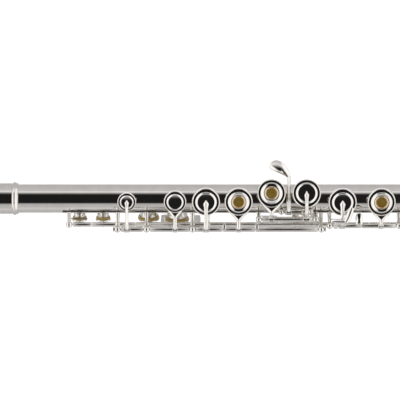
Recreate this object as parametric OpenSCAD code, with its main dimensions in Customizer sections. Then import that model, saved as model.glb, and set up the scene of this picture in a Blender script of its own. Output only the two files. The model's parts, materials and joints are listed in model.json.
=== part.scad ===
// Concert flute: open-hole (French) model with offset G, C sharp trill and C foot.
// +X runs along the tube from head to foot, +Z is up through the finger keys and +Y is the
// listener's side.  The origin is on the tube axis at the open end of the foot joint, and a
// station is a distance from that end towards the head.

/* [Tube] */
// Bore radius of the body and foot
bore_r = 9.5; // [9.3:0.05:9.7]
// Wall thickness of the tube
tube_wall = 0.4; // [0.3:0.05:0.5]
// Bore radius of the head joint at its cork
head_bore_r = 8.5; // [8.3:0.05:8.7]
// Height of the tone-hole chimneys above the tube
chimney_rise = 2.5; // [2:0.1:3.2]
// Wall thickness of the chimneys
chimney_wall = 0.45; // [0.35:0.05:0.6]
// Radial play of a sliding tenon
tenon_play = 0.05; // [0.03:0.01:0.09]
// How far the head joint's tenon reaches into the barrel
head_tenon = 34; // [26:1:36]
// Length of the body's tenon inside the foot socket
foot_tenon = 10.5; // [8:0.5:11]
// Wall thickness of the barrel and the foot socket
socket_wall = 0.75; // [0.6:0.05:1]

/* [Stations] */
// Station of the low C tone hole
s_low_c = 43.4; // [40:0.1:50]
// Station of the low C sharp tone hole
s_low_csharp = 78.2; // [74:0.1:80]
// Station of the E flat tone hole
s_eb = 111.1; // [110:0.1:111.4]
// Station of the mouth of the foot socket
s_socket = 130.5; // [130:0.1:131]
// Station of the D key
s_d = 142.2; // [142:0.1:143]
// Station of the E key
s_e = 171.5; // [169:0.1:173]
// Station of the F key
s_f = 199.2; // [197:0.1:201]
// Station of the F sharp key
s_fsharp = 225.1; // [223:0.1:227]
// Station of the lower G key
s_g_low = 249; // [248:0.1:249.2]
// Station of the upper G key
s_g_high = 272.4; // [272.2:0.1:273]
// Station of the A key
s_a = 294.3; // [293:0.1:295]
// Station of the B flat key
s_bb = 316; // [315:0.1:317]
// Station of the left index touch
s_index = 336.6; // [335:0.1:338]
// Station of the thumb B key
s_thumb = 335.5; // [334:0.1:337]
// Station of the C sharp trill hole
s_csharp_trill = 354.6; // [354:0.1:356]
// Station of the small C sharp hole
s_csharp = 368.7; // [367:0.1:370]
// Station of the D trill hole
s_d_trill = 385.1; // [384:0.1:386]
// Station of the D sharp trill hole
s_dsharp_trill = 400.9; // [400:0.1:402]
// Station of the G sharp tone hole
s_gsharp = 249.6; // [248:0.1:251]
// Station of the G sharp lever, between the two G cups
s_gsharp_lever = 260.7; // [260.5:0.1:260.9]
// Station of the barrel ring at the body end of the barrel
s_barrel = 441.5; // [440:0.5:446]
// Length of the barrel
barrel_len = 44.5; // [42:0.5:50]
// Station of the centre of the embouchure hole
s_mouth = 606; // [600:1:612]
// Distance from the embouchure to the end of the head tube
mouth_to_end = 46; // [44:1:50]

/* [Keys] */
// Radius of the large key cups
cup_r = 9.4; // [9:0.1:9.5]
// Radius of the two G cups
g_cup_r = 9.55; // [9:0.05:9.6]
// Radius of the small C sharp cup
small_cup_r = 6.2; // [6:0.1:6.6]
// Radius of the left index touch
index_cup_r = 7.5; // [7:0.1:8]
// Radius of the D and D sharp trill cups
trill_cup_r = 5.4; // [5.2:0.1:5.8]
// Radius of the C sharp trill cup
csharp_trill_cup_r = 7.4; // [7:0.1:7.6]
// Radius of the thumb B cup
thumb_cup_r = 8.6; // [8:0.1:8.8]
// Radius of the G sharp cup
gsharp_cup_r = 8.5; // [8:0.1:8.6]
// Radius of the finger hole in an open cup
finger_hole_r = 3.3; // [2.8:0.1:3.6]
// Height of a key cup from rim to top
cup_height = 2.4; // [2.2:0.1:2.6]
// Sheet thickness of a key cup
cup_wall = 0.6; // [0.5:0.05:0.7]
// How far the open keys stand open, in degrees
key_lift = 7.5; // [6:0.5:8]
// How far the thumb key stands open, in degrees
thumb_lift = 7; // [6:0.5:8]
// Angle of the offset G cups from the key line
g_offset = 22.7; // [20:0.1:24]
// Angle of the trill cups from the key line
trill_angle = -101; // [-104:1:-100]
// Angle of the C sharp trill cup from the key line
csharp_trill_angle = -108; // [-110:1:-106]
// Angle of the thumb B cup from the key line
thumb_angle = -110; // [-112:1:-108]
// Angle of the G sharp cup from the key line
gsharp_angle = -115; // [-117:1:-113]

/* [Mechanism] */
// Outer radius of the key tubes on a steel
sleeve_r = 1.8; // [1.6:0.05:1.85]
// Radius of the steels
steel_r = 0.95; // [0.85:0.05:1]
// Outer radius of the trill tubes
trill_r = 1.6; // [1.55:0.05:1.65]
// Radius of the innermost trill rod
trill_core_r = 0.55; // [0.5:0.05:0.6]
// Radial play of a key tube on its steel
play = 0.05; // [0.03:0.01:0.06]
// Gap between neighbouring key tubes
end_gap = 0.3; // [0.2:0.05:0.5]
// Radius of the balls on the posts
ball_r = 2.3; // [2.2:0.05:2.4]
// Radius of a post's stem
stem_r = 1.2; // [1:0.05:1.3]
// Thickness of the ribs under the posts
rib_t = 0.7; // [0.5:0.05:0.9]

/* [Hidden] */
$fn = 72;
tube_r = bore_r + tube_wall;
pad_plane = tube_r + chimney_rise;
seat_gap = 0.05;
pad_show = 0.55;
rim_z = pad_plane + pad_show;
cup_top = rim_z + cup_height;
socket_r = tube_r + tenon_play;
socket_out = socket_r + socket_wall;
rib_out = tube_r + 0.02 + rib_t;
rib_from = -64;
rib_to = -52;
rib_mid = (rib_from + rib_to) / 2;
head_r = head_bore_r + tube_wall;
s_head_end = s_mouth + mouth_to_end;
s_barrel_top = s_barrel + barrel_len - 2;
s_tenon_end = s_barrel_top - head_tenon;
s_body_top = s_tenon_end - 1.5;
s_body_end = s_socket - foot_tenon;
s_foot_top = s_body_end - 0.3;

// Rod lines, each as its place across the tube [y, z]
line_trill = [-16.9, 6];
line_thumb = [-19.8, 8.4];
line_left = [-19.3, 13];
line_g = [-12.7, 11.5];
line_gsharp = [-8, 9.6];
line_right = [-17.1, 11];
line_low_c = [-20.6, 7.2];
thumb_sleeve_r = sleeve_r - 0.15;

// Posts of each line, as stations
posts_trill = [407.7, 151.5];
s_post_left_top = 375.1;
s_post_a = 355.7;
s_post_b = 325;
s_post_left_end = 239;
posts_thumb = [s_post_a, 314.8];
posts_g = [280.8, 242.6];
posts_gsharp = [265.6, 246];
posts_right = [233.4, 187, 133.3];
posts_foot = [115.4, 62.5];
s_eb_csharp = 100.2;
posts_low_c = [97.5, 33];

trill_mid_in = trill_core_r + play;
trill_mid_out = trill_mid_in + 0.42;
trill_bore = trill_mid_out + play;
hole_r = cup_r - 2.3;
g_hole_r = g_cup_r - 2.3;

// ---------- placing ----------

function polar(r, a) = [r * sin(a), r * cos(a)];
// A point [y, z] seen from a cup that sits at angle a
function in_cup(p, a) = [p[0] * cos(a) - p[1] * sin(a), p[0] * sin(a) + p[1] * cos(a)];
function bend(a, b, c, n = 8) =
  [for (i = [0:n]) let (t = i / n) (1 - t) * (1 - t) * a + 2 * t * (1 - t) * b + t * t * c];
function unit(v) = v / norm(v);
function left_of(v) = [-v[1], v[0]];
function heading(p, i) = unit(p[min(i + 1, len(p) - 1)] - p[max(i - 1, 0)]);

module rod(s0, s1, r, line = [0, 0])
  translate([-s0, line[0], line[1]]) rotate([0, 90, 0]) cylinder(h = s0 - s1, r = r);

module pipe(s0, s1, r_out, r_in, line = [0, 0])
  translate([-s0, line[0], line[1]]) rotate([0, 90, 0])
    rotate_extrude() translate([r_in, 0]) square([r_out - r_in, s0 - s1]);

// A ring about the tube axis whose outline is drawn as [distance along, radius]
module turned(s, outline)
  translate([-s, 0, 0]) rotate([0, 90, 0])
    rotate_extrude() polygon([for (p = outline) [p[1], p[0]]]);

module swung(line, turn)
  translate([0, line[0], line[1]]) rotate([turn, 0, 0]) translate([0, -line[0], -line[1]]) children();

module at_cup(s, a) translate([-s, 0, 0]) rotate([-a, 0, 0]) children();

// ---------- tube pieces ----------

module chimney(s, a, r)
  at_cup(s, a) {
    cylinder(h = pad_plane - 0.35, r = r + chimney_wall);
    translate([0, 0, pad_plane - 0.4])
      rotate_extrude() translate([r + 0.4, 0]) circle(r = 0.4);
    translate([0, 0, pad_plane - 0.8]) cylinder(h = 0.5, r = r + 0.4);
  }

module tone_hole(s, a, r) at_cup(s, a) translate([0, 0, 2]) cylinder(h = 20, r = r);

module holed_tube(s0, s1, holes)
  difference() {
    union() {
      rod(s0, s1, tube_r);
      for (h = holes) chimney(h[0], h[1], h[2]);
    }
    rod(s0 + 1, s1 - 1, bore_r);
    for (h = holes) tone_hole(h[0], h[1], h[2]);
  }

small_hole_r = small_cup_r - 2.3;
trill_hole_r = trill_cup_r - 1.9;
csharp_trill_hole_r = csharp_trill_cup_r - 2.2;
thumb_hole_r = thumb_cup_r - 2.2;
gsharp_hole_r = gsharp_cup_r - 2.2;
body_holes = [
  [s_dsharp_trill, trill_angle, trill_hole_r], [s_d_trill, trill_angle, trill_hole_r],
  [s_csharp, 0, small_hole_r], [s_csharp_trill, csharp_trill_angle, csharp_trill_hole_r],
  [s_thumb, thumb_angle, thumb_hole_r], [s_bb, 0, hole_r], [s_a, 0, hole_r],
  [s_g_high, g_offset, g_hole_r], [s_g_low, g_offset, g_hole_r],
  [s_gsharp, gsharp_angle, gsharp_hole_r],
  [s_fsharp, 0, hole_r], [s_f, 0, hole_r], [s_e, 0, hole_r], [s_d, 0, hole_r]
];
foot_holes = [[s_eb, 0, hole_r], [s_low_csharp, 0, hole_r], [s_low_c, 0, hole_r]];

module body_tube() color("silver") holed_tube(s_body_top, s_body_end, body_holes);

module barrel() color("silver")
  difference() {
    turned(s_barrel + barrel_len, concat(
      [[0, socket_r], [0, socket_out + 0.5], [0.5, socket_out + 0.8], [1.5, socket_out + 0.8],
       [2, socket_out + 0.4], [2.6, socket_out + 0.4], [3, socket_out]],
      [[barrel_len - 4, socket_out], [barrel_len - 3.6, socket_out + 0.6],
       [barrel_len - 2.6, socket_out + 0.9], [barrel_len - 1.6, socket_out + 0.6],
       [barrel_len - 1.3, socket_out + 0.2], [barrel_len - 0.6, socket_out + 0.45],
       [barrel_len, socket_out + 0.1], [barrel_len, socket_r]]));
    rod(s_barrel + barrel_len + 1, s_barrel - 1, socket_r);
  }

module rib(s0, s1)
  translate([-s0, 0, 0]) rotate([0, 90, 0]) rotate([0, 0, 180 - rib_to])
    rotate_extrude(angle = rib_to - rib_from)
      translate([tube_r + 0.02, 0]) square([rib_t, s0 - s1]);

module key_ribs() color("silver") rib(412, s_socket + 0.6);

module foot_tube() color("silver") {
  holed_tube(s_foot_top, 0, foot_holes);
  turned(2.4, [[0, tube_r], [0.2, tube_r + 0.6], [1.2, tube_r + 0.9], [2.2, tube_r + 0.6],
    [2.4, tube_r + 0.1], [2.4, tube_r - 0.1], [0, tube_r - 0.1]]);
}

module foot_socket() color("silver")
  turned(s_socket, [[0, socket_r], [0, socket_out + 0.4], [0.6, socket_out + 0.7],
    [1.6, socket_out + 0.7], [2.2, socket_out + 0.1], [2.6, socket_out],
    [foot_tenon - 0.6, socket_out], [foot_tenon + 0.9, socket_out - 0.4],
    [foot_tenon + 0.9, socket_r]]);

module foot_rib() color("silver") rib(s_foot_top - 1.2, 28);

// ---------- head joint ----------

mouth_len = 12.2;
mouth_wide = 10.4;
module mouth_outline(grow)
  intersection() {
    circle(r = mouth_len / 2 + grow);
    square([mouth_len + 2 * grow, mouth_wide + 2 * grow], center = true);
  }
module mouth_hole() translate([-s_mouth, 0, 4]) linear_extrude(16) mouth_outline(0);

module head_tube() color("silver")
  difference() {
    union() {
      turned(s_head_end, [[0, 0], [0, head_r], [mouth_to_end, head_r + 0.05],
        [s_head_end - s_tenon_end - head_tenon - 40, tube_r], [s_head_end - s_tenon_end, tube_r],
        [s_head_end - s_tenon_end, 0]]);
      turned(s_head_end, [[0, head_r - 0.1], [0, head_r + 0.5], [1, head_r + 0.7],
        [2, head_r + 0.5], [2.4, head_r - 0.1]]);
    }
    turned(s_head_end + 1, [[0, 0], [0, head_bore_r], [mouth_to_end + 1, head_bore_r],
      [s_head_end - s_tenon_end - head_tenon - 39, bore_r], [s_head_end - s_tenon_end + 2, bore_r],
      [s_head_end - s_tenon_end + 2, 0]]);
    mouth_hole();
  }

plate_len = 40;
plate_wide = 26;
plate_top = head_r + 5.2;
plate_arc = 15.4;
plate_t = 0.9;
module plate_arc_solid(r) translate([-s_mouth - 30, 0, plate_top - plate_arc]) rotate([0, 90, 0])
  cylinder(h = 60, r = r);
// A full oval: an ellipse whose ends are a little squarer
module oval(l, w, points = 64, fullness = 0.93)
  polygon([for (i = [0:points - 1]) let (a = 360 * i / points)
    [l / 2 * sign(cos(a)) * pow(abs(cos(a)), fullness), w / 2 * sign(sin(a)) * pow(abs(sin(a)), fullness)]]);

module lip_plate() color("silver")
  difference() {
    intersection() {
      plate_arc_solid(plate_arc);
      translate([-s_mouth, 0, 0]) linear_extrude(40) oval(plate_len, plate_wide);
    }
    plate_arc_solid(plate_arc - plate_t);
    mouth_hole();
  }

module embouchure_riser() color("silver")
  difference() {
    intersection() {
      translate([-s_mouth, 0, 5]) linear_extrude(12) mouth_outline(1.1);
      plate_arc_solid(plate_arc - plate_t - 0.02);
    }
    rod(s_mouth + 20, s_mouth - 20, head_r + 0.2);
    mouth_hole();
  }

screw_r = 2.4;
cork_len = 17;
cork_from_mouth = 17.3;
s_cork = s_mouth + cork_from_mouth;
crown_len = 7.5;
crown_plug = 6;
module crown() color("silver")
  difference() {
    union() {
      turned(s_head_end + crown_len, [[0, 0], [0, 3.5], [0.5, 5.4], [1.4, 7], [2.6, 8.2],
        [3.6, 8.6], [4.2, 8.3], [4.8, 8.4], [5.4, head_r + 0.5], [6.4, head_r + 0.75],
        [crown_len - 0.05, head_r + 0.5], [crown_len - 0.05, 0]]);
      rod(s_head_end + 0.1, s_head_end - crown_plug, head_bore_r - tenon_play);
    }
    rod(s_head_end + 4, s_head_end - crown_plug - 1, screw_r + play);
  }

module cork() color("tan")
  pipe(s_cork + cork_len, s_cork, head_bore_r - 0.03, screw_r + 0.02);

module stopper_screw() color("silver") {
  rod(s_head_end - 0.2, s_cork - 0.6, screw_r);
  rod(s_cork - 0.05, s_cork - 1.05, head_bore_r - 0.2);
  rod(s_cork + cork_len + 1.05, s_cork + cork_len + 0.05, head_bore_r - 0.2);
}

// ---------- posts, steels and springs ----------

// A turned stem and ball from one point across the tube to another
module stem(from, to, s, r0, r1, size) {
  way = to - from;
  tall = norm(way);
  translate([-s, from[0], from[1]]) rotate([atan2(-way[0], way[1]), 0, 0])
    rotate_extrude() {
      polygon([[0, 0], [r0, 0], [r1, tall], [0, tall]]);
      intersection() {
        translate([0, tall]) circle(r = size);
        translate([0, tall - size]) square(2 * size);
      }
    }
}

// A post from the rib to one rod line, bored for what turns or sits in it
module post(s, line, bore, size = ball_r)
  difference() {
    stem(polar(tube_r, rib_mid), line, s, stem_r + 0.25, stem_r, size);
    rod(s + 5, s - 5, rib_out + 0.02);
    rod(s + 5, s - 5, bore, line);
  }

// A tall post that carries the trill and thumb lines, and on request the left-hand line
module tall_post(s, thumb_bore, with_left = true)
  difference() {
    union() {
      stem(polar(tube_r, rib_mid), line_trill, s, stem_r + 0.25, stem_r, ball_r);
      stem(line_trill, line_thumb, s, stem_r, stem_r, ball_r - 0.1);
      if (with_left) stem(line_thumb, line_left, s, stem_r, stem_r, ball_r);
    }
    rod(s + 5, s - 5, rib_out + 0.02);
    rod(s + 5, s - 5, trill_r + play, line_trill);
    rod(s + 5, s - 5, thumb_bore, line_thumb);
    rod(s + 5, s - 5, steel_r + play, line_left);
  }

// A post that carries the trill line and one line above it
module twin_post(s, line, bore)
  difference() {
    union() {
      stem(polar(tube_r, rib_mid), line_trill, s, stem_r + 0.25, stem_r, ball_r);
      stem(line_trill, line, s, stem_r, stem_r, ball_r);
    }
    rod(s + 5, s - 5, rib_out + 0.02);
    rod(s + 5, s - 5, trill_r + play, line_trill);
    rod(s + 5, s - 5, bore, line);
  }

module key_posts() color("silver") {
  post(posts_trill[0], line_trill, trill_core_r + play);
  twin_post(s_post_left_top, line_left, steel_r + 0.02);
  tall_post(s_post_a, steel_r + 0.02);
  tall_post(s_post_b, thumb_sleeve_r + play);
  tall_post(posts_thumb[1], steel_r + 0.02, false);
  twin_post(s_post_left_end, line_left, steel_r + 0.02);
  post(posts_g[0], line_g, steel_r + 0.02);
  post(posts_g[1], line_g, steel_r + 0.02);
  for (s = posts_gsharp) post(s, line_gsharp, steel_r + 0.02, 2);
  post(posts_right[0], line_right, steel_r + 0.02);
  twin_post(posts_right[1], line_right, steel_r + 0.02);
  post(posts_trill[1], line_trill, trill_core_r + play);
  post(posts_right[2], line_right, steel_r + 0.02);
}

module key_steel(stations, line)
  rod(max(stations) + ball_r - 0.6, min(stations) - ball_r + 0.6, steel_r, line);

module steel_rods() color("gray") {
  key_steel(posts_thumb, line_thumb);
  key_steel(posts_g, line_g);
  key_steel(posts_gsharp, line_gsharp);
  key_steel(posts_right, line_right);
}

// The left-hand line turns on short pivots held in its end posts
pivot_reach = 2.2;
module pivot_screw(s, line, way)
  translate([-s, line[0], line[1]]) rotate([0, way * 90, 0]) {
    translate([0, 0, -ball_r - 0.7]) difference() {
      cylinder(h = 0.85, r = steel_r + 0.5);
      translate([-2, -0.2, -0.1]) cube([4, 0.4, 0.5]);
    }
    translate([0, 0, -ball_r]) cylinder(h = 2 * ball_r + pivot_reach, r = steel_r);
  }
module pivot_screws() color("gray") {
  pivot_screw(s_post_left_top, line_left, 1);
  pivot_screw(s_post_left_end, line_left, -1);
}

spring_r = 0.25;
spring_len = 11;
module needle(s, line, way) {
  mid = (polar(rib_out, rib_mid) * 0.5 + line * 0.5);
  base = stem_r + 0.12;
  if (way > 0) rod(s + base + spring_len, s + base, spring_r, mid);
  else rod(s - base, s - base - spring_len, spring_r, mid);
}
module needle_springs() color("steelblue") {
  needle(posts_trill[0], line_trill, -1);
  needle(posts_g[0], line_g, -1);
  needle(posts_right[0], line_right, -1);
  needle(posts_right[2], line_right, 1);
}

module foot_posts() color("silver") {
  for (s = posts_foot) post(s, line_right, steel_r + 0.02);
  for (s = posts_low_c) post(s, line_low_c, steel_r + 0.02);
}
module foot_steels() color("gray") {
  key_steel(posts_foot, line_right);
  key_steel(posts_low_c, line_low_c);
}
module foot_springs() color("steelblue") {
  needle(posts_foot[1], line_right, 1);
  needle(posts_low_c[1], line_low_c, 1);
}

// ---------- key parts ----------

module steel_bore(s0, s1, line) rod(s0 + 1, s1 - 1, steel_r + play, line);

// The turned shell of a cup, open below for its pad, in the cup's own frame
module cup_shell(r, closed = true)
  rotate_extrude() difference() {
    union() {
      translate([0, rim_z]) square([r, cup_height - 1]);
      translate([0, rim_z]) square([r - 1, cup_height]);
      translate([r - 1, cup_top - 1]) circle(r = 1);
      translate([0, cup_top - 0.1]) square([r * 0.66, 0.35]);
      if (!closed) translate([finger_hole_r, cup_top - 0.1]) square([1.2, 0.6]);
    }
    translate([closed ? -0.01 : finger_hole_r + 1.3, rim_z - 0.1])
      square([r - cup_wall - (closed ? -0.01 : finger_hole_r + 1.3), cup_height - cup_wall + 0.1]);
    if (!closed) translate([-1, 0]) square([finger_hole_r + 1, 30]);
  }

module pad_disc(r, closed = true)
  color("goldenrod") rotate_extrude() {
    inner = closed ? 0 : finger_hole_r + 1.4;
    outer = r - cup_wall - 0.1;
    translate([inner, pad_plane + seat_gap + 0.4]) square([outer - inner, 1.85]);
    translate([inner, pad_plane + seat_gap]) square([outer - inner - 0.4, 0.5]);
    translate([outer - 0.4, pad_plane + seat_gap + 0.4]) circle(r = 0.4);
  }

// A strip of varying thickness that follows a path in the [y, z] plane
module ribbon(path, t0, t1) {
  n = len(path) - 1;
  function half(i) = (t0 + (t1 - t0) * i / n) / 2;
  polygon(concat(
    [for (i = [0:n]) path[i] + half(i) * left_of(heading(path, i))],
    [for (i = [n:-1:0]) path[i] - half(i) * left_of(heading(path, i))]));
}

module side_arm(path, t0, t1, wide = 30)
  translate([-wide / 2, 0, 0]) rotate([90, 0, 90]) linear_extrude(wide) ribbon(path, t0, t1);

// French pointed arm: from the rod, over the rim, to a point at the cup's centre
module pointed_arm(s, a, line, r, w0 = 4.2) {
  p = in_cup(line, a);
  rise = bend(p, [p[0] + 1.5, cup_top + 0.9], [-r - 0.5, cup_top + 0.75], 8);
  path = concat(rise, [[-r + 2, cup_top + 0.55], [0.8, cup_top + 0.45]]);
  at_cup(s, a) intersection() {
    side_arm(path, 2, 0.8);
    translate([0, 0, -2]) linear_extrude(30) polygon([
      [-w0 / 2, p[0] - 2], [w0 / 2, p[0] - 2], [w0 / 2 - 0.4, -r - 1], [w0 / 2 - 0.6, -r * 0.6],
      [0.35, 0.3], [0, 0.7], [-0.35, 0.3], [-w0 / 2 + 0.6, -r * 0.6], [-w0 / 2 + 0.4, -r - 1]]);
  }
}

// Y arm: a stem from the rod that forks to hold the cup's side
module y_arm(s, a, line, r, spread = 34, w0 = 3.4) {
  p = in_cup(line, a);
  rise = bend(p, [p[0] + 1.2, cup_top - 0.6], [-r - 2, cup_top - 0.9], 8);
  path = concat(rise, [[-r * cos(spread) + 0.6, cup_top - 0.95]]);
  fork = -r - 3.4;
  tip = r + 0.25;
  at_cup(s, a) difference() {
    intersection() {
      side_arm(path, 2, 1.5);
      translate([0, 0, -2]) linear_extrude(30) {
        polygon([[-w0 / 2, p[0] - 2], [w0 / 2, p[0] - 2], [w0 / 2, fork], [-w0 / 2, fork]]);
        for (m = [-1, 1]) polygon([[m * w0 / 2, fork - 0.3], [-m * 0.2, fork - 0.3],
          [-m * 0.2, fork + 0.8], [m * tip * sin(spread - 8), -tip * cos(spread - 8) + 0.5],
          [m * (tip + 0.9) * sin(spread + 5), -(tip + 0.2) * cos(spread + 5)],
          [m * (tip + 1.6) * sin(spread - 4), -(tip + 1.7) * cos(spread - 4)]]);
      }
    }
    cylinder(h = 40, r = r - 0.15);
  }
}

// ---------- left hand ----------

module c_key_parts() {
  rod(s_post_left_top - ball_r - 0.1, s_post_a + ball_r + 0.1, sleeve_r, line_left);
  rod(s_post_a + 6, s_post_a - 6, steel_r, line_left);
  rod(s_post_a - ball_r - 0.1, s_post_b + ball_r + 0.1, sleeve_r, line_left);
  rod(s_post_b + 6, s_post_b + ball_r, steel_r, line_left);
  pointed_arm(s_csharp, 0, line_left, small_cup_r, 3.4);
  at_cup(s_csharp, 0) cup_shell(small_cup_r);
  y_arm(s_index, 0, line_left, index_cup_r, 36);
  at_cup(s_index, 0) cup_shell(index_cup_r);
}
left_pivot_depth = 2.6;
module c_key() color("silver") swung(line_left, key_lift)
  difference() {
    c_key_parts();
    rod(s_post_left_top, s_post_left_top - ball_r - left_pivot_depth, steel_r + play, line_left);
    rod(s_post_b + ball_r + left_pivot_depth + 1, s_post_b, steel_r + play, line_left);
  }

s_bb_a = s_bb - 11;
s_a_link = 283.2;
module bb_key_parts() {
  rod(s_post_b - ball_r - 0.1, s_bb_a, sleeve_r, line_left);
  rod(s_post_b + ball_r + left_pivot_depth, s_post_left_end + ball_r + 6, steel_r, line_left);
  rod(s_a_link - end_gap, s_post_left_end + ball_r + 0.1, sleeve_r, line_left);
  pointed_arm(s_bb, 0, line_left, cup_r);
  at_cup(s_bb, 0) cup_shell(cup_r);
  translate([-s_a_link + 1.2, line_left[0] + 0.6, line_left[1] + 0.9]) cube([1.6, 3.4, 1.4]);
}
module bb_key() color("silver") swung(line_left, key_lift)
  difference() {
    bb_key_parts();
    rod(s_post_left_end + ball_r + left_pivot_depth, s_post_left_end, steel_r + play, line_left);
  }

module a_key() color("silver") swung(line_left, key_lift)
  difference() {
    union() {
      rod(s_bb_a - end_gap, s_a_link, sleeve_r, line_left);
      y_arm(s_a, 0, line_left, cup_r);
      at_cup(s_a, 0) cup_shell(cup_r, false);
      translate([-s_bb_a + 1, line_left[0] + 0.6, line_left[1] + 0.9]) cube([1.6, 3.4, 1.4]);
    }
    steel_bore(s_bb_a, s_a_link - 1, line_left);
  }

module g_keys() color("silver") swung(line_g, key_lift)
  difference() {
    union() {
      rod(posts_g[0] - ball_r - 0.1, posts_g[1] + ball_r + 0.1, sleeve_r, line_g);
      y_arm(s_g_high, g_offset, line_g, g_cup_r);
      at_cup(s_g_high, g_offset) cup_shell(g_cup_r, false);
      pointed_arm(s_g_low, g_offset, line_g, g_cup_r, 3.6);
      at_cup(s_g_low, g_offset) cup_shell(g_cup_r);
    }
    steel_bore(posts_g[0], posts_g[1], line_g);
  }

gsharp_lever_w = 2.9;
gsharp_side = polar(rim_z + 1.3, gsharp_angle) + (gsharp_cup_r - 0.2) * polar(1, gsharp_angle + 90);
module gsharp_spoon()
  translate([-s_gsharp_lever, 0, 0]) {
    translate([0, 20.2, 5.2]) rotate([-20, 0, 0]) hull() {
      translate([-0.2, -4.9, 0.4]) cylinder(h = 1, r = 1.7, $fn = 32);
      translate([-5.2, 1, 0.2]) cylinder(h = 1, r = 4.5, $fn = 32);
      translate([-9, 2.4, 0.1]) cylinder(h = 1, r = 4, $fn = 32);
      translate([-12.4, 2.4, 0]) cylinder(h = 1, r = 1.6, $fn = 32);
    }
  }
module gsharp_key() color("silver")
  difference() {
    union() {
      rod(posts_gsharp[0] - 2.1, posts_gsharp[1] + 2.1, sleeve_r, line_gsharp);
      translate([-s_gsharp_lever, 0, 0]) intersection() {
        side_arm(concat(bend(line_gsharp, [-5, 12.4], [1, 12.7], 6),
          bend([1, 12.7], [10, 12.4], [17, 6.9], 8)), 2.2, 1.6);
        translate([-gsharp_lever_w / 2, -12, 0]) cube([gsharp_lever_w, 40, 30]);
      }
      gsharp_spoon();
      at_cup(s_gsharp, gsharp_angle) cup_shell(gsharp_cup_r);
      translate([-s_gsharp - 0.2, 0, 0]) intersection() {
        side_arm(concat(bend(line_gsharp, [-12.2, 8.8], [-13.1, 5.4], 6),
          bend([-13.1, 5.4], [-13.6, 3.4], gsharp_side, 5)), 2, 1.4);
        translate([-1.6, -30, -30]) cube([3.2, 60, 60]);
      }
    }
    steel_bore(posts_gsharp[0], posts_gsharp[1], line_gsharp);
  }

s_thumb_split = 334.9;
s_bb_touch = 322.6;
module thumb_arm(s, wide, a, end_r)
  translate([-s, 0, 0]) intersection() {
    side_arm(concat(bend(line_thumb, [-21, 3], [-19.8, -1], 6),
      bend([-19.8, -1], [-18.6, -5], polar(end_r, a), 6)), 1.8, 1.2);
    translate([-wide / 2, -40, -40]) cube([wide, 60, 60]);
  }
module thumb_plate(s, a, r, l, w)
  at_cup(s, a) translate([-w / 2, -l / 2, r]) hull() {
    translate([1.5, 1.5, 0]) cylinder(h = 1, r = 1.5, $fn = 32);
    translate([w - 1.5, 1.5, 0]) cylinder(h = 1, r = 1.5, $fn = 32);
    translate([1.5, l - 1.5, 0]) cylinder(h = 1, r = 1.5, $fn = 32);
    translate([w - 1.5, l - 1.5, 0]) cylinder(h = 1, r = 1.5, $fn = 32);
  }
s_thumb_touch = 342.6;
module thumb_b_key() color("silver") swung(line_thumb, -thumb_lift)
  difference() {
    union() {
      rod(s_post_a - ball_r - 0.1, s_thumb_split + end_gap, thumb_sleeve_r, line_thumb);
      thumb_arm(s_thumb + 1, 3.2, thumb_angle, cup_top + 0.2);
      at_cup(s_thumb, thumb_angle) cup_shell(thumb_cup_r);
      thumb_plate(s_thumb_touch, thumb_angle - 10, cup_top + 0.7, 16, 7.6);
    }
    steel_bore(posts_thumb[0], posts_thumb[1], line_thumb);
  }
module thumb_bb_lever() color("silver") swung(line_thumb, -thumb_lift)
  difference() {
    union() {
      rod(s_thumb_split, posts_thumb[1] + ball_r, thumb_sleeve_r, line_thumb);
      thumb_arm(s_bb_touch - 1, 3, thumb_angle, cup_top + 0.2);
      thumb_plate(s_bb_touch, thumb_angle - 6, cup_top - 0.4, 15, 6);
    }
    steel_bore(posts_thumb[0], posts_thumb[1], line_thumb);
  }

// ---------- right hand ----------

s_bb_fsharp = 227.7;
s_fsharp_f = 212;
s_e_d = 157.4;

module finger_key(s, s0, s1, open_hole, line = line_right)
  swung(line, key_lift) difference() {
    union() {
      rod(s0, s1, sleeve_r, line);
      if (open_hole) y_arm(s, 0, line, cup_r); else pointed_arm(s, 0, line, cup_r);
      at_cup(s, 0) cup_shell(cup_r, !open_hole);
    }
    steel_bore(s0, s1, line);
  }

s_side_arm = 229.4;
s_side_top = 231;
s_side_bend = 222.8;
s_side_tip = 219.6;
side_z = 19.2;
module bb_side_lever() color("silver")
  difference() {
    union() {
      rod(posts_right[0] - ball_r - 0.1, s_bb_fsharp + end_gap, sleeve_r, line_right);
      translate([-s_side_arm, 0, 0]) intersection() {
        side_arm(bend(line_right, [-16.8, side_z + 0.2], [-12.6, side_z + 0.5], 6), 2, 1.2);
        translate([-1.2, -30, 0]) cube([2.4, 40, 40]);
      }
      translate([0, 0, side_z]) hull() {
        translate([-s_side_top, -13.2, 0]) cylinder(h = 1.1, r = 1.3, $fn = 32);
        translate([-s_side_bend, -13.4, 0]) cylinder(h = 1.1, r = 1.3, $fn = 32);
      }
      translate([0, 0, side_z]) hull() {
        translate([-s_side_bend, -13, 0]) cylinder(h = 1.1, r = 1.8, $fn = 32);
        translate([-s_side_tip, -5.8, 0]) cylinder(h = 1.1, r = 2.2, $fn = 32);
      }
    }
    steel_bore(posts_right[0], s_bb_fsharp, line_right);
  }

module fsharp_key() color("silver") finger_key(s_fsharp, s_bb_fsharp, s_fsharp_f + end_gap, false);
module f_key() color("silver") finger_key(s_f, s_fsharp_f, posts_right[1] + ball_r + 0.1, true);
module e_key() color("silver") finger_key(s_e, posts_right[1] - ball_r - 0.1, s_e_d + end_gap, true);
module d_key() color("silver") finger_key(s_d, s_e_d, posts_right[2] + ball_r + 0.1, true);

// ---------- trill keys ----------

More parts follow.
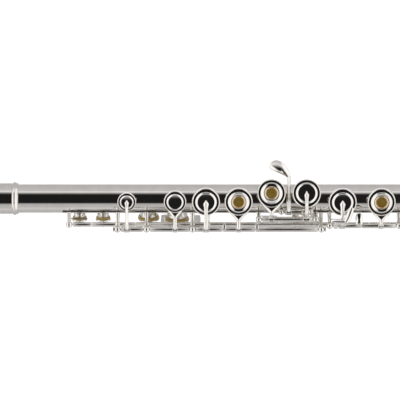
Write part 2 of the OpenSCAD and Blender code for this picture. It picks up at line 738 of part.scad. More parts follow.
// A trill key's cup with the arm that hangs it from the trill line
module trill_cup(s, a, r, arm_shift = 0) {
  at_cup(s, a) cup_shell(r);
  translate([-s + arm_shift, 0, 0]) intersection() {
    side_arm(bend(line_trill, line_trill + [-2.4, -5], polar(cup_top + 0.35, a), 8), 2, 1.1);
    translate([-1.5, -40, -40]) cube([3, 60, 60]);
  }
}

// A trill touch, on an arm that rises inside the right-hand line
touch_z = 13.6;
module trill_touch(s) {
  translate([-s, 0, 0]) intersection() {
    side_arm(concat(bend(line_trill, [-13.6, 6.4], [-13.4, 10], 6),
      bend([-13.4, 10], [-13.4, 13.2], [-12.2, touch_z + 0.5], 4)), 1.9, 1.4);
    translate([-1.6, -40, 0]) cube([3.2, 60, 40]);
  }
  translate([-s, 0, touch_z]) hull() {
    translate([0, -14.6, 0]) cylinder(h = 1.2, r = 2.4, $fn = 32);
    translate([0, -10.8, 0]) cylinder(h = 1.2, r = 2.6, $fn = 32);
  }
}

s_dsharp_d = 393;
s_d_csharp = 363.4;
s_csharp_touch = 213.9;
s_csharp_d = 206.6;
s_d_touch = 182.6;
s_d_dsharp = 166.4;
s_dsharp_touch = 157;

module csharp_trill_key() color("silver")
  difference() {
    union() {
      rod(s_d_csharp - end_gap, s_csharp_d + end_gap, trill_r, line_trill);
      trill_cup(s_csharp_trill, csharp_trill_angle, csharp_trill_cup_r, 3.5);
      trill_touch(s_csharp_touch);
    }
    rod(s_d_csharp + 1, s_csharp_d - 1, trill_bore, line_trill);
  }

module d_trill_key() color("silver")
  difference() {
    union() {
      rod(s_dsharp_d - end_gap, s_d_csharp, trill_r, line_trill);
      rod(s_d_csharp + 1, s_csharp_d - 1, trill_mid_out, line_trill);
      rod(s_csharp_d, s_d_dsharp + end_gap, trill_r, line_trill);
      trill_cup(s_d_trill, trill_angle, trill_cup_r);
      trill_touch(s_d_touch);
    }
    rod(s_dsharp_d + 1, s_d_dsharp - 1, trill_mid_in, line_trill);
  }

module dsharp_trill_key() color("silver") {
  rod(posts_trill[0] - ball_r - 0.1, s_dsharp_d, trill_r, line_trill);
  rod(posts_trill[0] + ball_r, posts_trill[1] - ball_r, trill_core_r, line_trill);
  rod(s_d_dsharp, posts_trill[1] + ball_r + 0.1, trill_r, line_trill);
  trill_cup(s_dsharp_trill, trill_angle, trill_cup_r);
  trill_touch(s_dsharp_touch);
}

// ---------- foot keys ----------

s_eb_arm = 104.6;
eb_paddle_z = 12.6;
module eb_key() color("silver")
  difference() {
    union() {
      rod(posts_foot[0] - ball_r - 0.1, s_eb_csharp + end_gap, sleeve_r, line_right);
      pointed_arm(s_eb, 0, line_right, cup_r);
      at_cup(s_eb, 0) cup_shell(cup_r);
      translate([-s_eb_arm, 0, 0]) intersection() {
        side_arm(bend(line_right, [-19, 14], [-24, 13.4], 6), 2, 1.4);
        translate([-1.7, -40, 0]) cube([3.4, 60, 40]);
      }
      translate([-s_eb_arm, 0, eb_paddle_z]) hull() {
        translate([-14.9, -24.5, 0]) cylinder(h = 1.2, r = 2.6, $fn = 32);
        translate([-4.4, -26.5, 0]) cylinder(h = 1.2, r = 3.8, $fn = 32);
        translate([0.1, -25, 0]) cylinder(h = 1.2, r = 2.2, $fn = 32);
      }
    }
    steel_bore(posts_foot[0], s_eb_csharp, line_right);
  }

// The pinky touches of the two low keys, each a roller in a cradle on its key's arm
roller_r = 1.9;
roller_pin_r = 0.5;
s_csharp_roller = 97.6;
s_low_c_roller = 91.4;
roller_z = 17.2;
roller_from = -14.5;
roller_to = -4;
cradle_w = 3.4;
module cradle(s) {
  translate([-s - cradle_w / 2, roller_from - 1.2, roller_z - 3.4])
    cube([cradle_w, roller_to - roller_from + 2.4, 1]);
  for (y = [roller_from - 1.2, roller_to + 0.2])
    translate([-s - cradle_w / 2, y, roller_z - 3]) cube([cradle_w, 1, 3.6]);
  translate([-s, roller_from - 0.5, roller_z]) rotate([-90, 0, 0])
    cylinder(h = roller_to - roller_from + 1, r = roller_pin_r);
}
module roller(s)
  translate([-s, roller_from, roller_z]) rotate([-90, 0, 0]) difference() {
    union() {
      translate([0, 0, 0.1]) cylinder(h = roller_to - roller_from - 0.2, r = roller_r - 0.25);
      translate([0, 0, 0.5]) cylinder(h = roller_to - roller_from - 1, r = roller_r);
    }
    translate([0, 0, -1]) cylinder(h = 20, r = roller_pin_r + play);
  }
module touch_arm(s, line, mid)
  translate([-s, 0, 0]) intersection() {
    side_arm(bend(line, mid, [roller_from, roller_z - 2.8], 8), 2, 1.2);
    translate([-1.5, -40, 0]) cube([3, 60, 40]);
  }

module low_csharp_key() color("silver") swung(line_right, key_lift)
  difference() {
    union() {
      rod(s_eb_csharp, posts_foot[1] + ball_r + 0.1, sleeve_r, line_right);
      y_arm(s_low_csharp, 0, line_right, cup_r);
      at_cup(s_low_csharp, 0) cup_shell(cup_r);
      touch_arm(s_csharp_roller, line_right, [-17.6, 14]);
      cradle(s_csharp_roller);
    }
    steel_bore(s_eb_csharp, posts_foot[1], line_right);
  }

module low_c_key() color("silver") swung(line_low_c, key_lift)
  difference() {
    union() {
      rod(posts_low_c[0] - ball_r - 0.1, posts_low_c[1] + ball_r + 0.1, sleeve_r, line_low_c);
      y_arm(s_low_c, 0, line_low_c, cup_r);
      at_cup(s_low_c, 0) cup_shell(cup_r);
      touch_arm(s_low_c_roller, line_low_c, [-22.5, 14.8]);
      cradle(s_low_c_roller);
    }
    steel_bore(posts_low_c[0], posts_low_c[1], line_low_c);
  }
module csharp_roller() color("silver") swung(line_right, key_lift) roller(s_csharp_roller);
module low_c_roller() color("silver") swung(line_low_c, key_lift) roller(s_low_c_roller);

// ---------- pads ----------

module top_pad(s, r, line, closed = true, a = 0)
  swung(line, key_lift) at_cup(s, a) pad_disc(r, closed);
module csharp_pad() top_pad(s_csharp, small_cup_r, line_left);
module bb_pad() top_pad(s_bb, cup_r, line_left);
module a_pad() top_pad(s_a, cup_r, line_left, false);
module g_pads() {
  top_pad(s_g_high, g_cup_r, line_g, false, g_offset);
  top_pad(s_g_low, g_cup_r, line_g, true, g_offset);
}
module fsharp_pad() top_pad(s_fsharp, cup_r, line_right);
module f_pad() top_pad(s_f, cup_r, line_right, false);
module e_pad() top_pad(s_e, cup_r, line_right, false);
module d_pad() top_pad(s_d, cup_r, line_right, false);
module low_csharp_pad() top_pad(s_low_csharp, cup_r, line_right);
module low_c_pad() top_pad(s_low_c, cup_r, line_low_c);
module eb_pad() at_cup(s_eb, 0) pad_disc(cup_r);
module thumb_b_pad() swung(line_thumb, -thumb_lift) at_cup(s_thumb, thumb_angle) pad_disc(thumb_cup_r);
module gsharp_pad() at_cup(s_gsharp, gsharp_angle) pad_disc(gsharp_cup_r);
module d_trill_pad() at_cup(s_d_trill, trill_angle) pad_disc(trill_cup_r);
module dsharp_trill_pad() at_cup(s_dsharp_trill, trill_angle) pad_disc(trill_cup_r);
module csharp_trill_pad() at_cup(s_csharp_trill, csharp_trill_angle) pad_disc(csharp_trill_cup_r);

head_tube();
lip_plate();
embouchure_riser();
crown();
cork();
stopper_screw();
body_tube();
barrel();
key_ribs();
key_posts();
steel_rods();
needle_springs();
pivot_screws();
foot_tube();
foot_socket();
foot_rib();
foot_posts();
foot_steels();
foot_springs();
c_key();
bb_key();
a_key();
g_keys();
gsharp_key();
thumb_b_key();
thumb_bb_lever();
bb_side_lever();
fsharp_key();
f_key();
e_key();
d_key();
d_trill_key();
dsharp_trill_key();
csharp_trill_key();
eb_key();
low_csharp_key();
low_c_key();
csharp_roller();
low_c_roller();
csharp_pad();
bb_pad();
a_pad();
g_pads();
gsharp_pad();
thumb_b_pad();
fsharp_pad();
f_pad();
e_pad();
d_pad();
d_trill_pad();
dsharp_trill_pad();
csharp_trill_pad();
eb_pad();
low_csharp_pad();
low_c_pad();
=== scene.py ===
import json
import math

import bpy
import bmesh
from mathutils import Matrix, Vector

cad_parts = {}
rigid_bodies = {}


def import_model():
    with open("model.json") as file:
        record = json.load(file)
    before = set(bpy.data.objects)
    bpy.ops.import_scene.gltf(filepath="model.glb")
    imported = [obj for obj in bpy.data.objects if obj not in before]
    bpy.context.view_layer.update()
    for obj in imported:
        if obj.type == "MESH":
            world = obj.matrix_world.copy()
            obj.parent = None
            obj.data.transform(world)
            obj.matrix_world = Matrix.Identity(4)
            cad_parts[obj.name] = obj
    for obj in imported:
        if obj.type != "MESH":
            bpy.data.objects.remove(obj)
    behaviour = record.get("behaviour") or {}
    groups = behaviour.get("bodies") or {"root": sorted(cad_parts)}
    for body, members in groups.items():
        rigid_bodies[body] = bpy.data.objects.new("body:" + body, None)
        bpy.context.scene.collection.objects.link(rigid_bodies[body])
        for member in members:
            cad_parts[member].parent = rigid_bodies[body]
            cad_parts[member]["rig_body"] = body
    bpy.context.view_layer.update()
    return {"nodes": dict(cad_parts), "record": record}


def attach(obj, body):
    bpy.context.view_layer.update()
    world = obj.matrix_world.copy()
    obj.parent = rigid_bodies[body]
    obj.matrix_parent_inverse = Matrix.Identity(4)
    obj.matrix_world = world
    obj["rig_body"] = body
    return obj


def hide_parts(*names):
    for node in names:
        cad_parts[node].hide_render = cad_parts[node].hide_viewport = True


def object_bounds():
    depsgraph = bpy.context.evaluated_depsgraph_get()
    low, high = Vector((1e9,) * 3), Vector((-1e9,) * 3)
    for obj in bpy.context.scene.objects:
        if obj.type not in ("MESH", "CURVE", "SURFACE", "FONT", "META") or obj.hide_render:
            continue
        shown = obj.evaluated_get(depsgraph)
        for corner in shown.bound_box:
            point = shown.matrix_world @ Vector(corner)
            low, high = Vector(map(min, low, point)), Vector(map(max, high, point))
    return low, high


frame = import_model()
NODES = frame["nodes"]

# Sizes in millimetres, the same as the CAD's
BORE_R, TUBE_R = 9.5, 9.9
PAD_PLANE, RIM_Z, CUP_TOP = 12.4, 12.95, 15.35
CUP_R, G_CUP_R, SMALL_CUP_R, INDEX_CUP_R = 9.4, 9.55, 6.2, 7.5
TRILL_CUP_R, CSHARP_TRILL_CUP_R, THUMB_CUP_R, GSHARP_CUP_R = 5.4, 7.4, 8.6, 8.5
HOLE_R = 3.3
SLEEVE_R, TRILL_R, STEEL_R, PLAY = 1.8, 1.6, 0.95, 0.05
LIFT, THUMB_LIFT = 7.5, 7
G_OFFSET, TRILL_ANGLE, CSHARP_TRILL_ANGLE, THUMB_ANGLE, GSHARP_ANGLE = 22.7, -101, -108, -110, -115
LINE = {"trill": (-16.9, 6), "thumb": (-19.8, 8.4), "left": (-19.3, 13), "g": (-12.7, 11.5),
        "gsharp": (-8, 9.6), "right": (-17.1, 11), "low_c": (-20.6, 7.2)}
S = {"low_c": 43.4, "low_csharp": 78.2, "eb": 111.1, "d": 142.2, "e": 171.5, "f": 199.2, "fsharp": 225.1,
     "g_low": 249, "g_high": 272.4, "a": 294.3, "bb": 316, "index": 336.6, "thumb": 335.5,
     "csharp_trill": 354.6, "csharp": 368.7, "d_trill": 385.1, "dsharp_trill": 400.9, "gsharp": 249.6,
     "gsharp_lever": 260.7, "socket": 130.5, "barrel": 441.5, "mouth": 606, "head_end": 652}
BALL_R = 2.3
IDENTITY = Matrix.Identity(4)
# Where the head joint's bore is narrowest, how far from its closed end it starts to widen, and over what length
HEAD_BORE_R, HEAD_FLARE_START, HEAD_FLARE_LENGTH = 8.5, 46, 81
# Material indices of the key pieces and of the tubes
BUSHING_INDEX, ROD_INDEX, PAINTED_BORE_INDEX = 1, 2, 1


# ---------- placing ----------

def at_cup(s, angle):
    """The place of a cup, by station and by angle round the tube."""
    return Matrix.Translation((-s, 0, 0)) @ Matrix.Rotation(math.radians(-angle), 4, "X")


def swung(line, turn):
    """A turn in degrees about a rod line."""
    y, z = LINE[line]
    return (Matrix.Translation((0, y, z)) @ Matrix.Rotation(math.radians(turn), 4, "X")
            @ Matrix.Translation((0, -y, -z)))


def along(s, line=None):
    """A frame whose Z axis runs towards the foot from a station on a rod line."""
    y, z = LINE[line] if line else (0, 0)
    return Matrix.Translation((-s, y, z)) @ Matrix.Rotation(math.radians(90), 4, "Y")


def in_cup(line, angle):
    """A rod line's place across the tube, as a cup at that angle sees it."""
    y, z = LINE[line]
    a = math.radians(angle)
    return y * math.cos(a) - z * math.sin(a), y * math.sin(a) + z * math.cos(a)


def polar(r, angle):
    """Y and Z of a point at a radius and at degrees from straight up."""
    a = math.radians(angle)
    return r * math.sin(a), r * math.cos(a)


def curve(a, b, c, count=10):
    """Points of a quadratic curve from a to c."""
    a, b, c = Vector(a), Vector(b), Vector(c)
    return [(1 - t) ** 2 * a + 2 * t * (1 - t) * b + t * t * c for t in (i / count for i in range(count + 1))]


def arc(r, z, size, start, end, count=6):
    """Outline points [radius, height] of a rounding about [r, z]."""
    turns = [math.radians(start + (end - start) * i / count) for i in range(count + 1)]
    return [(r + size * math.cos(t), z + size * math.sin(t)) for t in turns]


def smooth_loop(points, per=6):
    """A closed smooth loop through plan points."""
    loop, n = [], len(points)
    for i in range(n):
        p0, p1, p2, p3 = (Vector(points[(i + k) % n]) for k in (-1, 0, 1, 2))
        for j in range(per):
            t = j / per
            loop.append(0.5 * (2 * p1 + (p2 - p0) * t + (2 * p0 - 5 * p1 + 4 * p2 - p3) * t ** 2
                               + (3 * p1 - p0 - 3 * p2 + p3) * t ** 3))
    return loop


def ramped(values, t):
    """Reads evenly spaced values at t from 0 to 1."""
    place = t * (len(values) - 1)
    i = min(int(place), len(values) - 2)
    return values[i] + (values[i + 1] - values[i]) * (place - i)


# ---------- shaping ----------

class Work:
    """Collects the shapes of one piece, in millimetres."""

    def __init__(self):
        self.bm = bmesh.new()

    def skin(self, rings, closed=False):
        pairs = list(zip(rings, rings[1:])) + ([(rings[-1], rings[0])] if closed else [])
        for low, high in pairs:
            count = max(len(low), len(high))
            for i in range(count):
                j = (i + 1) % count
                corners = [low[i % len(low)], low[j % len(low)], high[j % len(high)], high[i % len(high)]]
                corners = list(dict.fromkeys(corners))
                if len(corners) > 2:
                    self.bm.faces.new(corners)

    def turn(self, outline, place=IDENTITY, sides=64, closed=False):
        """Turns [radius, height] points about the place's Z axis."""
        rings = []
        for radius, height in outline:
            if radius < 1e-6:
                rings.append([self.bm.verts.new(place @ Vector((0, 0, height)))])
            else:
                rings.append([self.bm.verts.new(place @ Vector(
                    (radius * math.cos(t), radius * math.sin(t), height)))
                    for t in (2 * math.pi * i / sides for i in range(sides))])
        self.skin(rings, closed)

    def pipe(self, s0, s1, r_out, r_in, line, place=IDENTITY, soft=0.15, sides=40):
        """A key tube between two stations."""
        length = s0 - s1
        before = len(self.bm.faces)
        self.turn([(r_in, 0), (r_out - soft, 0), (r_out - soft * 0.3, soft * 0.3), (r_out, soft),
                   (r_out, length - soft), (r_out - soft * 0.3, length - soft * 0.3), (r_out - soft, length),
                   (r_in, length)], place @ along(s0, line), sides, True)
        self.bm.faces.ensure_lookup_table()
        for face in self.bm.faces[before:]:
            face.material_index = ROD_INDEX

    def rod(self, s0, s1, r, line, place=IDENTITY, soft=0.15, sides=32):
        length = s0 - s1
        self.turn([(0, 0), (r - soft, 0), (r, soft), (r, length - soft), (r - soft, length), (0, length)],
                  place @ along(s0, line), sides)

    def saddle(self, s, line, place=IDENTITY, length=4.2, size=0.42, inner=STEEL_R + PLAY, r=SLEEVE_R):
        """The collar that joins an arm to its key tube."""
        outline = ([(inner, -length / 2)] + arc(r + size - 0.35, -length / 2 + 0.35, 0.35, -90, 0, 4)
                   + arc(r + size - 0.35, length / 2 - 0.35, 0.35, 0, 90, 4) + [(inner, length / 2)])
        self.turn(outline, place @ along(s, line), 40, True)

    def sweep(self, path, widths, heights, place=IDENTITY, sides=18, flat=False, fullness=0.85):
        """Sweeps a rounded section along a path; widths and heights are half sizes."""
        rings, n = [], len(path)
        for i, point in enumerate(path):
            ahead = (path[min(i + 1, n - 1)] - path[max(i - 1, 0)]).normalized()
            across = ahead.cross(Vector((0, 0, 1))) if flat else Vector((1, 0, 0))
            across = (across - across.dot(ahead) * ahead).normalized()
            above = across.cross(ahead).normalized()
            w, h = ramped(widths, i / (n - 1)), ramped(heights, i / (n - 1))
            ring = []
            for k in range(sides):
                c, s = math.cos(2 * math.pi * k / sides), math.sin(2 * math.pi * k / sides)
                c, s = (math.copysign(abs(v) ** fullness, v) for v in (c, s))
                ring.append(self.bm.verts.new(place @ (point + across * w * c + above * h * s)))
            rings.append(ring)
        for ring, point in ((rings[0], path[0]), (rings[-1], path[-1])):
            middle = [self.bm.verts.new(place @ point)]
            self.skin([ring, middle])
        self.skin(rings)

    def plate(self, loop, thick, dome, place=IDENTITY, lean=(0, 0)):
        """A domed plate with a rounded edge, from its plan outline."""
        middle = sum(loop, Vector((0, 0))) / len(loop)
        top = [(f, dome * (1 - f * f) + thick / 2) for f in (0, 0.15, 0.3, 0.45, 0.6, 0.72, 0.82, 0.9, 0.95)]
        edge = [(0.985, dome * 0.03 + thick * 0.38), (1, 0), (0.985, -thick * 0.38)]
        under = [(f, dome * (1 - f * f) - thick / 2) for f in (0.95, 0.8, 0.6, 0.3, 0)]
        rings = []
        for f, z in top + edge + under:
            ring = []
            for point in (loop if f else loop[:1]):
                flat = middle + (point - middle) * f
                rise = z + lean[0] * (flat.x - middle.x) + lean[1] * (flat.y - middle.y)
                ring.append(self.bm.verts.new(place @ Vector((flat.x, flat.y, rise))))
            rings.append(ring)
        self.skin(rings)

    def paint(self, test, index):
        """Gives the faces that pass the test another material slot."""
        for face in self.bm.faces:
            if test(face.calc_center_median()):
                face.material_index = index

    def done(self, name, node, materials, sharp=32, width=0.0):
        """Makes the piece, which stands for a CAD node and rides on its body."""
        bmesh.ops.recalc_face_normals(self.bm, faces=self.bm.faces)
        bmesh.ops.scale(self.bm, vec=(0.001, 0.001, 0.001), verts=self.bm.verts)
        mesh = bpy.data.meshes.new(name)
        self.bm.to_mesh(mesh)
        self.bm.free()
        piece = bpy.data.objects.new(name, mesh)
        bpy.context.scene.collection.objects.link(piece)
        for material in materials:
            mesh.materials.append(material)
        mesh.shade_smooth()
        mesh.set_sharp_from_angle(angle=math.radians(sharp))
        if width:
            edge = piece.modifiers.new("edge", "BEVEL")
            edge.width = width
            edge.segments = 2
            edge.limit_method = "ANGLE"
            edge.angle_limit = math.radians(sharp)
            edge.harden_normals = True
        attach(piece, NODES[node]["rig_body"])
        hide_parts(node)
        return piece


# ---------- key parts ----------

def cup(work, s, angle, r, place=IDENTITY, skirt=0.0, dish=0.22):
    """A closed cup: rounded rim, flat shoulder, raised ring and a shallow dish."""
    k = r / CUP_R
    base = RIM_Z + skirt
    bowl = r - 3.75 * k
    outline = [(0, CUP_TOP - 0.6), (r - 0.6, CUP_TOP - 0.6), (r - 0.6, base), (r - 0.1, base), (r, base + 0.1)]
    outline += arc(r - 0.95 * k, CUP_TOP - 0.1 - 0.95 * k, 0.95 * k, 0, 82, 8)
    outline += [(r - 1.05 * k, CUP_TOP - 0.1), (r - 1.2 * k, CUP_TOP - 0.1), (r - 2.3 * k, CUP_TOP - 0.1),
                (r - 2.4 * k, CUP_TOP - 0.08), (r - 2.5 * k, CUP_TOP), (r - 3.15 * k, CUP_TOP + 0.5),
                (r - 3.3 * k, CUP_TOP + 0.56), (r - 3.45 * k, CUP_TOP + 0.52), (r - 3.62 * k, CUP_TOP + 0.4),
                (r - 3.68 * k, CUP_TOP + 0.37), (bowl, CUP_TOP + 0.36)]
    outline += [(bowl * f, CUP_TOP + 0.36 - dish * (1 - f * f)) for f in (0.97, 0.88, 0.75, 0.6, 0.45, 0.3, 0.15, 0)]
    work.turn(outline, place @ at_cup(s, angle), 96)


def open_cup(work, s, angle, r, place=IDENTITY):
    """An open cup: the same rim, a sloping ring and a bushing round the finger hole."""
    outline = [(HOLE_R + 1.3, CUP_TOP - 0.6), (r - 0.6, CUP_TOP - 0.6), (r - 0.6, RIM_Z), (r - 0.1, RIM_Z),
               (r, RIM_Z + 0.1)]
    outline += arc(r - 0.95, CUP_TOP - 1.05, 0.95, 0, 82, 8)
    outline += [(r - 1.05, CUP_TOP - 0.1), (r - 1.2, CUP_TOP - 0.1), (r - 2.25, CUP_TOP - 0.1),
                (r - 2.35, CUP_TOP - 0.08), (r - 2.45, CUP_TOP), (r - 2.95, CUP_TOP + 0.4),
                (r - 3.08, CUP_TOP + 0.45), (r - 3.22, CUP_TOP + 0.42), (r - 3.35, CUP_TOP + 0.34)]
    outline += [(HOLE_R + 1.75, CUP_TOP + 0.02), (HOLE_R + 1.5, CUP_TOP), (HOLE_R + 1.35, CUP_TOP + 0.02),
                (HOLE_R + 1.2, CUP_TOP + 0.2)]
    outline += arc(HOLE_R + 0.75, CUP_TOP + 0.2, 0.42, 20, 160, 6)
    outline += [(HOLE_R + 0.05, CUP_TOP), (HOLE_R, CUP_TOP - 0.2), (HOLE_R, RIM_Z), (HOLE_R + 1.3, RIM_Z)]
    work.turn(outline, place @ at_cup(s, angle), 96, True)


def bushing_test(s, angle, place):
    """Tells whether a point is on the ring round a finger hole."""
    back = (place @ at_cup(s, angle)).inverted()

    def test(point):
        seen = back @ point
        return math.hypot(seen.x, seen.y) < HOLE_R + 1.38 and RIM_Z - 0.2 < seen.z < CUP_TOP + 1
    return test


def pointed_arm(work, s, angle, line, r, place=IDENTITY, wide=1.75):
    """French arm: from the rod over the rim to a point at the cup's centre."""
    y, z = in_cup(line, angle)
    start = (y + 0.35, z + 1.4)
    rise = curve(start, (y + 1.3, CUP_TOP + 1.3), (-r - 0.5, CUP_TOP + 1.0), 10)
    flat = curve((-r - 0.5, CUP_TOP + 1.0), (-r * 0.5, CUP_TOP + 0.95), (1.3, CUP_TOP + 0.6), 14)
    path = [Vector((0, p.x, p.y)) for p in rise + flat[1:]]
    work.sweep(path, [wide, wide * 0.95, wide * 0.85, wide * 0.78, wide * 0.7, wide * 0.68, wide * 0.74, wide, 0.15],
               [1.0, 0.95, 0.9, 0.85, 0.8, 0.75, 0.75, 0.8, 0.2], place @ at_cup(s, angle), 20, False, 1.45)
    work.saddle(s, line, place, 4.4)


def y_arm(work, s, angle, line, r, place=IDENTITY, spread=29, wide=1.35):
    """Y arm: a stem from the rod that forks to hold the cup's side, with a flat web in the fork."""
    y, z = in_cup(line, angle)
    level = CUP_TOP - 0.85
    fork = -r - 3.3
    at = place @ at_cup(s, angle)
    rise = curve((y + 0.5, z + 1.35), (y + 1.2, level + 0.2), (fork, level), 10)
    path = [Vector((0, p.x, p.y)) for p in rise + [Vector((fork + 0.8, level))]]
    work.sweep(path, [wide * 1.2, wide, wide * 0.95, wide], [1.0, 0.95, 0.95, 0.9], at, 20, False, 1.45)
    for side in (-1, 1):
        tip = Vector((side * (r - 0.1) * math.sin(math.radians(spread + 5)),
                      -(r - 0.1) * math.cos(math.radians(spread + 5))))
        prong = curve((side * 0.35, fork - 0.4), (side * 1.1, fork + 1.0), tip, 10)
        work.sweep([Vector((p.x, p.y, level)) for p in prong], [0.85, 0.8, 0.75, 0.7], [0.95, 0.95, 0.9, 0.85],
                   at, 16, True, 1.45)
    half = (r - 0.2) * math.sin(math.radians(spread))
    reach = -(r - 0.2) * math.cos(math.radians(spread))
    web = [Vector((0, fork + 0.2)), Vector((half, reach)), Vector((half * 0.4, -r + 0.3)),
           Vector((-half * 0.4, -r + 0.3)), Vector((-half, reach))]
    low, high = ([work.bm.verts.new(at @ Vector((p.x, p.y, level + dz))) for p in web] for dz in (-0.35, 0.15))
    work.bm.faces.new(low)
    work.bm.faces.new(high)
    work.skin([low, high])
    work.saddle(s, line, place, 3.6)


# ---------- node helpers ----------

def new_material(name):
    """A new node material: itself, its nodes, its links and its shader."""
    mat = bpy.data.materials.new(name)
    mat.use_nodes = True
    nodes = mat.node_tree.nodes
    return mat, nodes, mat.node_tree.links, nodes["Principled BSDF"]


def noise(nodes, links, scale, detail=2.0, stretch=(1, 1, 1)):
    """A noise texture in object space, stretched along the axes."""
    coords = nodes.new("ShaderNodeTexCoord")
    mapping = nodes.new("ShaderNodeMapping")
    mapping.inputs["Scale"].default_value = stretch
    texture = nodes.new("ShaderNodeTexNoise")
    texture.inputs["Scale"].default_value = scale
    texture.inputs["Detail"].default_value = detail
    links.new(coords.outputs["Object"], mapping.inputs["Vector"])
    links.new(mapping.outputs["Vector"], texture.inputs["Vector"])
    return texture.outputs["Fac"]


def spread_out(nodes, links, value, low, high, from_low=0.3, from_high=0.7):
    """Maps a noise value to a range."""
    node = nodes.new("ShaderNodeMapRange")
    node.inputs["From Min"].default_value = from_low
    node.inputs["From Max"].default_value = from_high
    node.inputs["To Min"].default_value = low
    node.inputs["To Max"].default_value = high
    links.new(value, node.inputs["Value"])
    return node.outputs["Result"]


def tint(nodes, links, value, dark, light):
    """Mixes two colours by a value."""
    node = nodes.new("ShaderNodeMix")
    node.data_type = "RGBA"
    node.inputs["A"].default_value = (*dark, 1)
    node.inputs["B"].default_value = (*light, 1)
    links.new(value, node.inputs["Factor"])
    return node.outputs["Result"]


def bump(nodes, links, value, strength, distance):
    """Turns a height into a surface normal."""
    node = nodes.new("ShaderNodeBump")
    node.inputs["Strength"].default_value = strength
    node.inputs["Distance"].default_value = distance
    links.new(value, node.inputs["Height"])
    return node.outputs["Normal"]


def metal(name, dark, light, rough_low, rough_high, scratch=0.02):
    """Polished metal: faint tarnish clouds, polishing marks and uneven gloss."""
    mat, nodes, links, shader = new_material(name)
    shader.inputs["Metallic"].default_value = 1
    clouds = noise(nodes, links, 140, 4)
    colour = tint(nodes, links, spread_out(nodes, links, clouds, 0, 1), dark, light)
    links.new(colour, shader.inputs["Base Color"])
    marks = noise(nodes, links, 900, 3, (1, 6, 6))
    links.new(spread_out(nodes, links, marks, rough_low, rough_high), shader.inputs["Roughness"])
    links.new(bump(nodes, links, marks, scratch, 0.00002), shader.inputs["Normal"])
    return mat


def pad_skin():
    """Bladder skin over felt: translucent yellow with faint wrinkles."""
    mat, nodes, links, shader = new_material("pad_skin")
    wrinkles = noise(nodes, links, 1500, 5)
    colour = tint(nodes, links, spread_out(nodes, links, wrinkles, 0, 1), (0.5, 0.34, 0.06), (0.74, 0.55, 0.16))
    links.new(colour, shader.inputs["Base Color"])
    shader.inputs["Roughness"].default_value = 0.42
    shader.inputs["Subsurface Weight"].default_value = 0.2
    shader.inputs["Subsurface Radius"].default_value = (0.001, 0.0006, 0.0002)
    shader.inputs["Coat Weight"].default_value = 0.25
    links.new(bump(nodes, links, wrinkles, 0.2, 0.0001), shader.inputs["Normal"])
    return mat


def cork_bark():
    mat, nodes, links, shader = new_material("cork")
    grain = noise(nodes, links, 700, 8)
    colour = tint(nodes, links, spread_out(nodes, links, grain, 0, 1, 0.35, 0.6), (0.25, 0.12, 0.05),
                  (0.62, 0.4, 0.2))
    links.new(colour, shader.inputs["Base Color"])
    shader.inputs["Roughness"].default_value = 0.85
    links.new(bump(nodes, links, grain, 0.6, 0.0003), shader.inputs["Normal"])
    return mat


SILVER = metal("silver", (0.86, 0.835, 0.81), (0.93, 0.91, 0.885), 0.05, 0.10)
STEEL = metal("steel", (0.5, 0.5, 0.52), (0.62, 0.62, 0.63), 0.16, 0.3, 0.1)
BLUED = metal("blued_steel", (0.08, 0.1, 0.18), (0.16, 0.2, 0.32), 0.2, 0.35)
PAD = pad_skin()
CORK = cork_bark()
KEY_SILVER = metal("key_silver", (0.89, 0.865, 0.845), (0.95, 0.93, 0.91), 0.05, 0.09)
# The bore's gold is a painted reflection of the yellow pad skins in the dim silver bore
PAINTED_BORE = metal("bore_painted_reflection", (0.5, 0.4, 0.13), (0.68, 0.56, 0.24), 0.4, 0.55, 0.05)
painted_bore_shader = PAINTED_BORE.node_tree.nodes["Principled BSDF"]
# A faint painted glow stands for the light that gathers in the holes
painted_bore_shader.inputs["Emission Color"].default_value = (0.5, 0.38, 0.1, 1)
painted_bore_shader.inputs["Emission Strength"].default_value = 0.14
ROD_SILVER = metal("rod_silver", (0.87, 0.845, 0.82), (0.94, 0.92, 0.9), 0.2, 0.26, 0.04)
BUSHING = metal("bushing", (0.9, 0.72, 0.52), (0.95, 0.8, 0.62), 0.08, 0.14)
SLOTS = {"silver": SILVER, "steel": STEEL, "blued_steel": BLUED, "pad_skin": PAD, "cork": CORK}

for part in frame["record"]["subparts"]:
    piece = NODES[part["node"]]
    piece.data.materials.clear()
    piece.data.materials.append(SLOTS[part["material_slot"]])
    weld = piece.modifiers.new("weld", "WELD")
    weld.merge_threshold = 0.000002
    smooth = piece.modifiers.new("smooth", "WEIGHTED_NORMAL")
    smooth.keep_sharp = True


# ---------- keys ----------

left, right, g_turn, thumb_turn = (swung("left", LIFT), swung("right", LIFT), swung("g", LIFT),
                                   swung("thumb", -THUMB_LIFT))
SLEEVE_IN = STEEL_R + PLAY
KEY_SLOTS = [KEY_SILVER, BUSHING, ROD_SILVER]


def index_and_c():
    work = Work()
    for s0, s1 in ((375.1 - BALL_R - 0.1, 355.7 + BALL_R + 0.1), (355.7 - BALL_R - 0.1, 325 + BALL_R + 0.1)):
        work.pipe(s0, s1, SLEEVE_R, SLEEVE_IN, "left", left)
    work.rod(361.7, 349.7, STEEL_R, "left", left)
    work.rod(331, 327.3, STEEL_R, "left", left)
    pointed_arm(work, S["csharp"], 0, "left", SMALL_CUP_R, left, 1.4)
    cup(work, S["csharp"], 0, SMALL_CUP_R, left)
    y_arm(work, S["index"], 0, "left", INDEX_CUP_R, left, 30)
    cup(work, S["index"], 0, INDEX_CUP_R, left)
    work.done("c_key_visual", "c_key", KEY_SLOTS)


